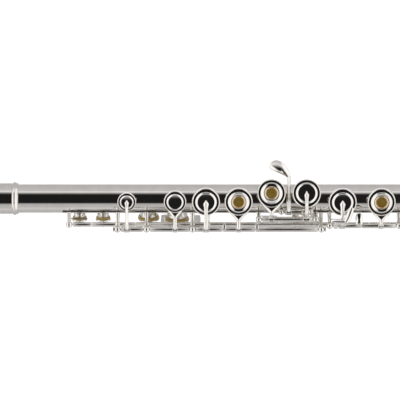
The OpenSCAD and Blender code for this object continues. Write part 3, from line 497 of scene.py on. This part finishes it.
def clutch(work, s, line, place, way):
    """A clutch lug with its adjusting screw."""
    y, z = LINE[line]
    corner = [Vector(p) for p in ((-0.9, -0.6), (0.9, -0.6), (0.9, 2.6), (0, 3.6), (-0.9, 2.6))]
    at = place @ Matrix.Translation((-s + way * 1.2, y + 0.9, z + 1.55))
    work.plate(smooth_loop(corner, 4), 1.1, 0.25, at)
    work.turn([(0, 0.2), (0.75, 0.2), (0.75, 0.95), (0.6, 1.1), (0, 1.1)], at @ Matrix.Translation((0, 2.2, 0)), 24)


def bb_and_a():
    work = Work()
    work.pipe(325 - BALL_R - 0.1, 305, SLEEVE_R, SLEEVE_IN, "left", left)
    work.rod(317.8, 247.3, STEEL_R, "left", left)
    work.pipe(282.9, 239 + BALL_R + 0.1, SLEEVE_R, SLEEVE_IN, "left", left)
    pointed_arm(work, S["bb"], 0, "left", CUP_R, left)
    cup(work, S["bb"], 0, CUP_R, left)
    clutch(work, 283.2, "left", left, 1)
    work.done("bb_key_visual", "bb_key", KEY_SLOTS)
    work = Work()
    work.pipe(304.7, 283.2, SLEEVE_R, SLEEVE_IN, "left", left)
    y_arm(work, S["a"], 0, "left", CUP_R, left)
    open_cup(work, S["a"], 0, CUP_R, left)
    clutch(work, 305, "left", left, 1)
    work.paint(bushing_test(S["a"], 0, left), BUSHING_INDEX)
    work.done("a_key_visual", "a_key", KEY_SLOTS)


def g_pair():
    work = Work()
    work.pipe(280.8 - BALL_R - 0.1, 242.6 + BALL_R + 0.1, SLEEVE_R, SLEEVE_IN, "g", g_turn)
    y_arm(work, S["g_high"], G_OFFSET, "g", G_CUP_R, g_turn)
    open_cup(work, S["g_high"], G_OFFSET, G_CUP_R, g_turn)
    pointed_arm(work, S["g_low"], G_OFFSET, "g", G_CUP_R, g_turn, 1.5)
    cup(work, S["g_low"], G_OFFSET, G_CUP_R, g_turn)
    work.paint(bushing_test(S["g_high"], G_OFFSET, g_turn), BUSHING_INDEX)
    work.done("g_keys_visual", "g_keys", KEY_SLOTS)


def finger_key(name, s, s0, s1, hole):
    work = Work()
    work.pipe(s0, s1, SLEEVE_R, SLEEVE_IN, "right", right)
    if hole:
        y_arm(work, s, 0, "right", CUP_R, right)
        open_cup(work, s, 0, CUP_R, right)
        work.paint(bushing_test(s, 0, right), BUSHING_INDEX)
    else:
        pointed_arm(work, s, 0, "right", CUP_R, right)
        cup(work, s, 0, CUP_R, right)
    work.done(name + "_visual", name, KEY_SLOTS)


def gsharp():
    work = Work()
    work.pipe(265.6 - 2.1, 246 + 2.1, SLEEVE_R, SLEEVE_IN, "gsharp")
    at = Matrix.Translation((-S["gsharp_lever"], 0, 0))
    y, z = LINE["gsharp"]
    path = curve((y + 0.5, z + 1.3), (-5, 12.6), (1, 12.9), 8) + curve((1, 12.9), (10, 12.6), (17, 6.9), 12)[1:]
    work.sweep([Vector((0, p.x, p.y)) for p in path], [1.5, 1.4, 1.3, 1.25, 1.3],
               [1.05, 1.0, 0.95, 0.9, 0.65], at, 20, False, 1.45)
    leaf = smooth_loop([(-0.4, -6.3), (1.3, -4.6), (0.6, -1.4), (-1.8, 2.6), (-5.4, 5.6), (-9.2, 6.3),
                        (-12.4, 4.6), (-13.7, 2.4), (-12.2, 0.2), (-9.0, -1.6), (-5.2, -3.3), (-2.2, -4.9)])
    spoon = at @ Matrix.Translation((0, 20.2, 5.9)) @ Matrix.Rotation(math.radians(-20), 4, "X")
    work.plate(leaf, 1.1, 1.5, spoon)
    cup(work, S["gsharp"], GSHARP_ANGLE, GSHARP_CUP_R, IDENTITY, 0.6)
    side = Vector(polar(RIM_Z + 1.3, GSHARP_ANGLE)) + (GSHARP_CUP_R - 0.2) * Vector(polar(1, GSHARP_ANGLE + 90))
    path = curve((y - 1.3, z - 0.4), (-12.2, 8.8), (-13.1, 5.4), 8) + curve((-13.1, 5.4), (-13.6, 3.4), side, 6)[1:]
    work.sweep([Vector((0, p.x, p.y)) for p in path], [1.6, 1.5, 1.5], [0.9, 0.85, 0.7],
               Matrix.Translation((-S["gsharp"] - 0.2, 0, 0)))
    work.saddle(S["gsharp_lever"], "gsharp", IDENTITY, 3.4)
    work.saddle(S["gsharp"], "gsharp", IDENTITY, 3.6)
    work.done("gsharp_key_visual", "gsharp_key", KEY_SLOTS)


def thumb_arm(work, s, wide, end_r):
    y, z = LINE["thumb"]
    path = curve((y - 0.4, z - 1.4), (-21, 3), (-19.8, -1), 8) + curve((-19.8, -1), (-18.6, -5),
                                                                      polar(end_r, THUMB_ANGLE), 8)[1:]
    work.sweep([Vector((0, p.x, p.y)) for p in path], [wide, wide, wide * 0.8], [0.9, 0.8, 0.6],
               thumb_turn @ Matrix.Translation((-s, 0, 0)))
    work.saddle(s, "thumb", thumb_turn, wide * 2 + 0.6, 0.35, SLEEVE_IN, SLEEVE_R - 0.15)


def touch_plate(work, s, angle, r, length, width, place):
    half_l, half_w = length / 2, width / 2
    loop = smooth_loop([(-half_w, -half_l * 0.6), (-half_w * 0.75, -half_l * 0.95), (half_w * 0.75, -half_l * 0.95),
                        (half_w, -half_l * 0.6), (half_w, half_l * 0.6), (half_w * 0.75, half_l * 0.95),
                        (-half_w * 0.75, half_l * 0.95), (-half_w, half_l * 0.6)])
    work.plate(loop, 1.0, 0.45, place @ at_cup(s, angle) @ Matrix.Translation((0, 0, r + 0.5)))


def thumb_pair():
    work = Work()
    work.pipe(355.7 - BALL_R - 0.1, 335.2, SLEEVE_R - 0.15, SLEEVE_IN, "thumb", thumb_turn)
    thumb_arm(work, S["thumb"] + 1, 1.6, CUP_TOP + 0.2)
    cup(work, S["thumb"], THUMB_ANGLE, THUMB_CUP_R, thumb_turn, 0.6)
    touch_plate(work, 342.6, THUMB_ANGLE - 10, CUP_TOP + 0.7, 16, 7.6, thumb_turn)
    work.done("thumb_b_key_visual", "thumb_b_key", KEY_SLOTS)
    work = Work()
    work.pipe(334.9, 314.8 + BALL_R, SLEEVE_R - 0.15, SLEEVE_IN, "thumb", thumb_turn)
    thumb_arm(work, 321.6, 1.5, CUP_TOP + 0.2)
    touch_plate(work, 322.6, THUMB_ANGLE - 6, CUP_TOP - 0.4, 15, 6, thumb_turn)
    work.done("thumb_bb_lever_visual", "thumb_bb_lever", KEY_SLOTS)


def side_lever():
    work = Work()
    work.pipe(233.4 - BALL_R - 0.1, 228, SLEEVE_R, SLEEVE_IN, "right")
    path = [Vector((0, p.x, p.y)) for p in curve((-16.9, 12.5), (-16.8, 19.4), (-12.9, 19.7), 10)]
    work.sweep(path, [1.2, 1.2, 1.1], [0.9, 0.8, 0.6], Matrix.Translation((-229.4, 0, 0)))
    bar = [Vector((x, y, 19.75)) for x, y in ((-232.2, -13.2), (-229, -13.3), (-225, -13.45), (-222.2, -13.2))]
    work.sweep(bar, [0.5, 1.15, 1.25, 1.2], [0.4, 0.75, 0.8, 0.75], IDENTITY, 20, True, 1.45)
    touch = [Vector((p.x, p.y, 19.75)) for p in curve((-224.0, -14.2), (-221.6, -12.4), (-218.9, -3.9), 10)]
    work.sweep(touch, [0.9, 1.7, 2.0, 2.15, 2.1, 1.1], [0.6, 1.0, 1.15, 1.15, 1.0, 0.5], IDENTITY, 24, True, 1.3)
    work.saddle(229.4, "right", IDENTITY, 2.6, 0.35)
    work.done("bb_side_lever_visual", "bb_side_lever", KEY_SLOTS)


def trill_cup(work, s, angle, r, shift=0.0):
    cup(work, s, angle, r, IDENTITY, 0.9)
    y, z = LINE["trill"]
    path = curve((y - 1.0, z - 1.0), (y - 2.4, z - 5), polar(CUP_TOP + 0.5, angle), 12)
    work.sweep([Vector((0, p.x, p.y)) for p in path], [1.5, 1.35, 1.2], [0.95, 0.8, 0.5],
               Matrix.Translation((-s + shift, 0, 0)))


def trill_touch(work, s):
    y, z = LINE["trill"]
    path = curve((y + 1.2, z + 0.3), (-13.6, 6.4), (-13.4, 10), 8)
    path += curve((-13.4, 10), (-13.4, 13.2), (-12.4, 14.1), 6)[1:]
    work.sweep([Vector((0, p.x, p.y)) for p in path], [1.5, 1.4, 1.4], [0.9, 0.8, 0.7],
               Matrix.Translation((-s, 0, 0)))
    loop = smooth_loop([(0, -17.0), (-1.7, -16.3), (-2.4, -14.6), (-2.6, -10.8), (-1.8, -8.9), (0, -8.2),
                        (1.8, -8.9), (2.6, -10.8), (2.4, -14.6), (1.7, -16.3)])
    work.plate(loop, 1.1, 1.0, Matrix.Translation((-s, 0, 14.15)))


def trills():
    work = Work()
    core, mid_in, mid_out = 0.55, 0.6, 1.02
    work.pipe(363.1, 206.9, TRILL_R, mid_out + PLAY, "trill")
    trill_cup(work, S["csharp_trill"], CSHARP_TRILL_ANGLE, CSHARP_TRILL_CUP_R, 3.5)
    trill_touch(work, 213.9)
    work.done("csharp_trill_key_visual", "csharp_trill_key", KEY_SLOTS)
    work = Work()
    work.pipe(392.7, 363.4, TRILL_R, mid_in, "trill")
    work.pipe(364.4, 205.6, mid_out, mid_in, "trill")
    work.pipe(206.6, 166.7, TRILL_R, mid_in, "trill")
    trill_cup(work, S["d_trill"], TRILL_ANGLE, TRILL_CUP_R)
    trill_touch(work, 182.6)
    work.done("d_trill_key_visual", "d_trill_key", KEY_SLOTS)
    work = Work()
    work.pipe(407.7 - BALL_R - 0.1, 393, TRILL_R, core - 0.1, "trill")
    work.rod(407.7 + BALL_R, 151.5 - BALL_R, core, "trill")
    work.pipe(166.4, 151.5 + BALL_R + 0.1, TRILL_R, core - 0.1, "trill")
    trill_cup(work, S["dsharp_trill"], TRILL_ANGLE, TRILL_CUP_R)
    trill_touch(work, 157)
    work.done("dsharp_trill_key_visual", "dsharp_trill_key", KEY_SLOTS)


def cradle(work, s, place):
    """The fork that carries a roller: a curved base, two cheeks and the pin."""
    base = [Vector((-s, y, 14.3)) for y in (-15.9, -14, -9, -4.5, -2.6)]
    work.sweep(base, [1.5, 1.75, 1.75, 1.75, 1.5], [0.5, 0.55, 0.55, 0.55, 0.5], place, 18, True)
    for y in (-15.7, -3.8):
        work.turn([(0, 0), (1.55, 0), (1.7, 0.15), (1.7, 0.85), (1.55, 1), (0, 1)],
                  place @ Matrix.Translation((-s, y, 15.9)) @ Matrix.Rotation(math.radians(-90), 4, "X"), 32)
    work.turn([(0, 0), (0.5, 0), (0.5, 11.5), (0, 11.5)],
              place @ Matrix.Translation((-s, -15, 17.2)) @ Matrix.Rotation(math.radians(-90), 4, "X"), 20)
    for y in (-15.7, -3.8):
        work.turn([(0, 0), (0.9, 0), (1.0, 0.1), (1.0, 0.9), (0.9, 1), (0, 1)],
                  place @ Matrix.Translation((-s, y, 17.0)) @ Matrix.Rotation(math.radians(-90), 4, "X"), 24)


def touch_arm(work, s, line, mid, place):
    y, z = LINE[line]
    path = [Vector((0, p.x, p.y)) for p in curve((y + 0.3, z + 1.4), mid, (-14.5, 14.4), 10)]
    work.sweep(path, [1.5, 1.5, 1.4], [0.95, 0.8, 0.6], place @ Matrix.Translation((-s, 0, 0)))


def foot_keys():
    work = Work()
    work.pipe(115.4 - BALL_R - 0.1, 100.5, SLEEVE_R, SLEEVE_IN, "right")
    pointed_arm(work, S["eb"], 0, "right", CUP_R)
    cup(work, S["eb"], 0, CUP_R)
    path = [Vector((0, p.x, p.y)) for p in curve((-17.4, 12.4), (-19, 14), (-24, 13.4), 10)]
    work.sweep(path, [1.7, 1.6, 1.5], [0.95, 0.8, 0.6], Matrix.Translation((-104.6, 0, 0)))
    paddle = smooth_loop([(-17.4, -24.4), (-15.6, -22.0), (-9, -22.4), (-4, -22.7), (1.2, -22.9), (2.4, -25),
                          (0.8, -27.6), (-3.6, -30.2), (-7.6, -29.2), (-12.5, -27.4), (-16.2, -26.4)])
    work.plate(paddle, 1.2, 0.7, Matrix.Translation((-104.6, 0, 13.2)))
    work.done("eb_key_visual", "eb_key", KEY_SLOTS)
    work = Work()
    work.pipe(100.2, 62.5 + BALL_R + 0.1, SLEEVE_R, SLEEVE_IN, "right", right)
    y_arm(work, S["low_csharp"], 0, "right", CUP_R, right)
    cup(work, S["low_csharp"], 0, CUP_R, right)
    touch_arm(work, 97.6, "right", (-17.6, 14), right)
    cradle(work, 97.6, right)
    work.done("low_csharp_key_visual", "low_csharp_key", KEY_SLOTS)
    low = swung("low_c", LIFT)
    work = Work()
    work.pipe(97.5 - BALL_R - 0.1, 33 + BALL_R + 0.1, SLEEVE_R, SLEEVE_IN, "low_c", low)
    y_arm(work, S["low_c"], 0, "low_c", CUP_R, low)
    cup(work, S["low_c"], 0, CUP_R, low)
    touch_arm(work, 91.4, "low_c", (-22.5, 14.8), low)
    cradle(work, 91.4, low)
    work.done("low_c_key_visual", "low_c_key", KEY_SLOTS)


index_and_c()
bb_and_a()
g_pair()
gsharp()
thumb_pair()
side_lever()
finger_key("fsharp_key", S["fsharp"], 227.7, 212.3, False)
finger_key("f_key", S["f"], 212, 187 + BALL_R + 0.1, True)
finger_key("e_key", S["e"], 187 - BALL_R - 0.1, 157.7, True)
finger_key("d_key", S["d"], 157.4, 133.3 + BALL_R + 0.1, True)
trills()
foot_keys()

# ---------- tubes ----------

BODY_HOLES = [(S["dsharp_trill"], TRILL_ANGLE, TRILL_CUP_R - 1.9), (S["d_trill"], TRILL_ANGLE, TRILL_CUP_R - 1.9),
              (S["csharp"], 0, SMALL_CUP_R - 2.3), (S["csharp_trill"], CSHARP_TRILL_ANGLE, CSHARP_TRILL_CUP_R - 2.2),
              (S["thumb"], THUMB_ANGLE, THUMB_CUP_R - 2.2), (S["bb"], 0, CUP_R - 2.3), (S["a"], 0, CUP_R - 2.3),
              (S["g_high"], G_OFFSET, G_CUP_R - 2.3), (S["g_low"], G_OFFSET, G_CUP_R - 2.3),
              (S["gsharp"], GSHARP_ANGLE, GSHARP_CUP_R - 2.2), (S["fsharp"], 0, CUP_R - 2.3),
              (S["f"], 0, CUP_R - 2.3), (S["e"], 0, CUP_R - 2.3), (S["d"], 0, CUP_R - 2.3)]
FOOT_HOLES = [(S["eb"], 0, CUP_R - 2.3), (S["low_csharp"], 0, CUP_R - 2.3), (S["low_c"], 0, CUP_R - 2.3)]


def chimney(work, s, angle, r):
    """A soldered chimney with a rolled top, its foot following the tube."""
    at = at_cup(s, angle)
    wall = r + 0.45
    profile = ([(r, None)] + [(r, PAD_PLANE - 0.4)] + arc(r + 0.4, PAD_PLANE - 0.4, 0.4, 180, -60, 10)
               + [(wall, PAD_PLANE - 0.85), (wall + 0.02, PAD_PLANE - 1.6), (wall + 0.1, None)])
    rings, sides = [], 72
    for radius, height in profile:
        ring = []
        for i in range(sides):
            t = 2 * math.pi * i / sides
            x, y = radius * math.cos(t), radius * math.sin(t)
            z = height if height is not None else math.sqrt(TUBE_R ** 2 - y * y) - 0.25
            ring.append(work.bm.verts.new(at @ Vector((x, y, z))))
        rings.append(ring)
    work.skin(rings, True)


def cut_tube(name, node, outline, holes, extra_cutter=None, bore=lambda s: BORE_R):
    """A turned tube with its holes cut, its chimneys, and a bore of radius bore(station) in painted gold reflection
    with a painted glow.
    """
    shell, cutter = Work(), Work()
    shell.turn(outline, along(0), 256, True)
    for s, angle, r in holes:
        cutter.turn([(0, 3), (r, 3), (r, 20), (0, 20)], at_cup(s, angle), 64)
    if extra_cutter:
        extra_cutter(cutter)
    made = []
    for work in (shell, cutter):
        bmesh.ops.recalc_face_normals(work.bm, faces=work.bm.faces)
        mesh = bpy.data.meshes.new("draft")
        work.bm.to_mesh(mesh)
        work.bm.free()
        draft = bpy.data.objects.new("draft", mesh)
        bpy.context.scene.collection.objects.link(draft)
        made.append(draft)
    cut = made[0].modifiers.new("cut", "BOOLEAN")
    cut.operation = "DIFFERENCE"
    cut.solver = "EXACT"
    cut.object = made[1]
    ready = bpy.data.meshes.new_from_object(made[0].evaluated_get(bpy.context.evaluated_depsgraph_get()))
    work = Work()
    work.bm.from_mesh(ready)
    for draft in made:
        bpy.data.objects.remove(draft)
    for s, angle, r in holes:
        chimney(work, s, angle, r)
    # The bore's faces get the painted gold reflection and the painted glow
    work.paint(lambda p: math.hypot(p.y, p.z) < bore(-p.x) + 0.04, PAINTED_BORE_INDEX)
    return work.done(name, node, [SILVER, PAINTED_BORE])


def turned(points, s0):
    """Station-based outline: [distance from s0 towards the foot, radius] as [radius, height along X]."""
    return [(r, -s0 + d) for d, r in points]


s_body_top = 448.5
cut_tube("body_tube_visual", "body_tube",
         turned([(0, BORE_R), (0, TUBE_R - 0.1), (0.1, TUBE_R), (328.4, TUBE_R), (328.5, TUBE_R - 0.1),
                 (328.5, BORE_R)], s_body_top), BODY_HOLES)
cut_tube("foot_tube_visual", "foot_tube",
         turned([(0, BORE_R), (0, TUBE_R), (117.2, TUBE_R), (117.3, TUBE_R + 0.35), (117.5, TUBE_R + 0.6),
                 (117.9, TUBE_R + 0.82), (118.4, TUBE_R + 0.9), (118.9, TUBE_R + 0.82), (119.4, TUBE_R + 0.6),
                 (119.7, TUBE_R), (119.7, BORE_R)], 119.7), FOOT_HOLES)


def mouth_points(grow, count=72):
    """The embouchure's outline: a circle cut off along the tube."""
    points = []
    for i in range(count):
        t = 2 * math.pi * i / count
        x, y = (6.1 + grow) * math.cos(t), (6.1 + grow) * math.sin(t)
        points.append(Vector((x, max(-5.2 - grow, min(5.2 + grow, y)))))
    return points


def mouth_cutter(work):
    rings = [[work.bm.verts.new(Vector((p.x - S["mouth"], p.y, z))) for p in mouth_points(0)] for z in (4, 20)]
    work.bm.faces.new(rings[0])
    work.bm.faces.new(rings[1])
    work.skin(rings)


def head_bore(s):
    """The head joint's bore narrows towards the crown."""
    from_end = S["head_end"] - s - HEAD_FLARE_START
    return HEAD_BORE_R + min(1, max(0, from_end / HEAD_FLARE_LENGTH))


cut_tube("head_tube_visual", "head_tube",
         turned([(0, HEAD_BORE_R), (0, 9.4), (0.4, 9.52), (1, 9.6), (1.6, 9.52), (2, 9.4), (2.4, 8.95),
                 (HEAD_FLARE_START, 8.95), (128, TUBE_R), (201.9, TUBE_R), (202, TUBE_R - 0.1), (202, BORE_R),
                 (HEAD_FLARE_START + HEAD_FLARE_LENGTH, BORE_R), (HEAD_FLARE_START, HEAD_BORE_R)],
                S["head_end"]), [], mouth_cutter, head_bore)

work = Work()
out = 10.7
work.turn([(r, h) for h, r in
           [(0, 9.95), (0, out + 0.45), (0.15, out + 0.68), (0.5, out + 0.8), (1.5, out + 0.8), (1.85, out + 0.65),
            (2.0, out + 0.4), (2.6, out + 0.4), (2.8, out + 0.15), (3, out), (40.4, out), (40.55, out + 0.25),
            (40.9, out + 0.6), (41.4, out + 0.82), (41.9, out + 0.9), (42.4, out + 0.82), (42.9, out + 0.6),
            (43.2, out + 0.2), (43.55, out + 0.28), (43.9, out + 0.45), (44.3, out + 0.35), (44.5, out + 0.1),
            (44.5, 9.95)]], along(S["barrel"] + 44.5), 192, True)
work.done("barrel_visual", "barrel", [SILVER])

work = Work()
work.turn([(r, h) for h, r in
           [(0, 9.95), (0, out + 0.35), (0.25, out + 0.6), (0.6, out + 0.7), (1.6, out + 0.7), (1.95, out + 0.5),
            (2.2, out + 0.1), (2.6, out), (9.9, out), (10.6, out - 0.1), (11.4, out - 0.4), (11.4, 9.95)]],
          along(S["socket"]), 192, True)
work.done("foot_socket_visual", "foot_socket", [SILVER])

work = Work()
work.turn([(r, h) for h, r in
           [(0, 0), (0, 2.6), (0.12, 3.3), (0.5, 5.2), (0.95, 6.3), (1.4, 7), (2.0, 7.75), (2.6, 8.2), (3.2, 8.5),
            (3.6, 8.6), (3.95, 8.5), (4.2, 8.3), (4.45, 8.3), (4.8, 8.4), (5.0, 8.9), (5.4, 9.4), (5.8, 9.58),
            (6.4, 9.65), (6.9, 9.6), (7.3, 9.5), (7.45, 9.3), (7.45, 8.45), (13.5, 8.45), (13.5, 2.45), (4, 2.45),
            (4, 0)]], along(659.5), 128)
work.done("crown_visual", "crown", [SILVER])


def rib(name, node, s0, s1):
    """The strip that the posts stand on, with softened edges."""
    work = Work()
    low, high, start, end = TUBE_R + 0.02, TUBE_R + 0.72, -64, -52
    section = [(low, start), (high - 0.15, start), (high, start + 0.9)]
    section += [(high, start + 0.9 + i * (end - start - 1.8) / 6) for i in range(1, 7)]
    section += [(high - 0.15, end), (low, end)]
    rings = []
    for s in (s0, s0 - 0.2, s1 + 0.2, s1):
        rings.append([work.bm.verts.new(Vector((-s, *polar(r, a)))) for r, a in section])
    work.skin(rings)
    work.bm.faces.new(rings[0])
    work.bm.faces.new(rings[-1])
    work.done(name, node, [SILVER])


rib("key_ribs_visual", "key_ribs", 412, S["socket"] + 0.6)
rib("foot_rib_visual", "foot_rib", 118.5, 28)


def lip_plate():
    """A curved oval plate with a rolled edge and a rounded embouchure."""
    work = Work()
    inner, count = mouth_points(0.0, 96), 96
    outer = []
    for i in range(count):
        t = 2 * math.pi * i / count
        c, s = math.cos(t), math.sin(t)
        outer.append(Vector((20 * math.copysign(abs(c) ** 0.93, c), 13 * math.copysign(abs(s) ** 0.93, s))))
    top_r, top_z, thick = 15.4, 14.1, 0.9

    def level(p):
        return top_z - top_r + math.sqrt(top_r ** 2 - p.y ** 2)
    steps = [(0, 0.75), (0, 0.35), (0.015, 0.1), (0.045, 0.0)]
    steps += [(t, 0.0) for t in (0.2, 0.35, 0.5, 0.65, 0.8, 0.9, 0.955)]
    steps += [(0.985, 0.08), (1.0, 0.4), (1.0, 0.7), (0.98, thick)] + [(t, thick) for t in (0.8, 0.5, 0.2, 0.03)]
    rings = []
    for t, drop in steps:
        ring = []
        for a, b in zip(inner, outer):
            p = a.lerp(b, t)
            ring.append(work.bm.verts.new(Vector((p.x - S["mouth"], p.y, level(p) - drop))))
        rings.append(ring)
    work.skin(rings, True)
    work.done("lip_plate_visual", "lip_plate", [SILVER])


lip_plate()

# ---------- studio ----------

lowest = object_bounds()[0].z
floor_mesh = bpy.data.meshes.new("floor")
half = 6.0
floor_mesh.from_pydata([(-half, -half, lowest), (half, -half, lowest), (half, half, lowest), (-half, half, lowest)],
                       [], [(0, 1, 2, 3)])
floor = bpy.data.objects.new("floor", floor_mesh)
bpy.context.scene.collection.objects.link(floor)
floor_mat, floor_nodes, floor_links, floor_shader = new_material("floor_white")
floor_shader.inputs["Base Color"].default_value = (0.4, 0.4, 0.4, 1)
floor_shader.inputs["Roughness"].default_value = 0.9
floor_shader.inputs["Emission Color"].default_value = (1, 1, 1, 1)
slant = floor_nodes.new("ShaderNodeLayerWeight")
sheen = floor_nodes.new("ShaderNodeMapRange")
sheen.inputs["From Min"].default_value = 0.06
sheen.inputs["From Max"].default_value = 0.26
sheen.inputs["To Min"].default_value = 0.95
sheen.inputs["To Max"].default_value = 0.24
floor_links.new(slant.outputs["Facing"], sheen.inputs["Value"])
floor_links.new(sheen.outputs["Result"], floor_shader.inputs["Emission Strength"])
floor_mesh.materials.append(floor_mat)

# The room as the metal mirrors it: brightness by angle from overhead, in degrees towards +Y
ROOM = [(-180, 0.9), (-112, 0.8), (-95, 0.66), (-72, 0.56), (-62, 0.48), (-46, 0.48), (-35, 0.3), (-29, 0.012),
        (35, 0.012), (43, 0.14), (50, 0.44), (57, 0.78), (62, 0.72), (69, 0.55), (90, 0.52), (180, 0.9)]
world = bpy.data.worlds.new("studio")
bpy.context.scene.world = world
world.use_nodes = True
w_nodes, w_links = world.node_tree.nodes, world.node_tree.links
direction = w_nodes.new("ShaderNodeTexCoord")
split = w_nodes.new("ShaderNodeSeparateXYZ")
w_links.new(direction.outputs["Generated"], split.inputs["Vector"])
angle = w_nodes.new("ShaderNodeMath")
angle.operation = "ARCTAN2"
w_links.new(split.outputs["Y"], angle.inputs[0])
w_links.new(split.outputs["Z"], angle.inputs[1])
turn = w_nodes.new("ShaderNodeMapRange")
turn.inputs["From Min"].default_value = -math.pi
turn.inputs["From Max"].default_value = math.pi
w_links.new(angle.outputs["Value"], turn.inputs["Value"])
ramp = w_nodes.new("ShaderNodeValToRGB")
stops = ramp.color_ramp.elements
while len(stops) < len(ROOM):
    stops.new(0.5)
for stop, (degrees, level) in zip(stops, ROOM):
    stop.position = (degrees + 180) / 360
    stop.color = (level, level * 0.99, level * 0.975, 1)
w_links.new(turn.outputs["Result"], ramp.inputs["Fac"])
# The dark card overhead is narrow: past it the two ends of the room are bright
sideways = w_nodes.new("ShaderNodeMath")
sideways.operation = "ABSOLUTE"
w_links.new(split.outputs["X"], sideways.inputs[0])
ends = w_nodes.new("ShaderNodeMapRange")
ends.inputs["From Min"].default_value = 0.30
ends.inputs["From Max"].default_value = 0.46
w_links.new(sideways.outputs["Value"], ends.inputs["Value"])
room = w_nodes.new("ShaderNodeMix")
room.data_type = "RGBA"
room.inputs["B"].default_value = (1.0, 0.985, 0.96, 1)
w_links.new(ends.outputs["Result"], room.inputs["Factor"])
w_links.new(ramp.outputs["Color"], room.inputs["A"])
w_links.new(room.outputs["Result"], w_nodes["Background"].inputs["Color"])
w_nodes["Background"].inputs["Strength"].default_value = 1.05
bpy.context.scene.view_settings.view_transform = "Standard"

# ---------- camera ----------

TILT = math.radians(7)
VIEW_WIDTH = 0.2685
DISTANCE = 1.8
back = Vector((0, math.sin(TILT), math.cos(TILT)))
up = Vector((0, math.cos(TILT), -math.sin(TILT)))
target = Vector((-0.3200, 0, 0)) - up * 0.00114
camera = bpy.data.objects.new("camera", bpy.data.cameras.new("camera"))
bpy.context.scene.collection.objects.link(camera)
camera.matrix_world = Matrix((
    (1, up.x, back.x, target.x + back.x * DISTANCE),
    (0, up.y, back.y, target.y + back.y * DISTANCE),
    (0, up.z, back.z, target.z + back.z * DISTANCE),
    (0, 0, 0, 1)))
camera.data.sensor_width = 36
camera.data.lens = 36 * DISTANCE / VIEW_WIDTH
camera.data.clip_start = 0.1
camera.data.clip_end = 50
bpy.context.scene.camera = camera
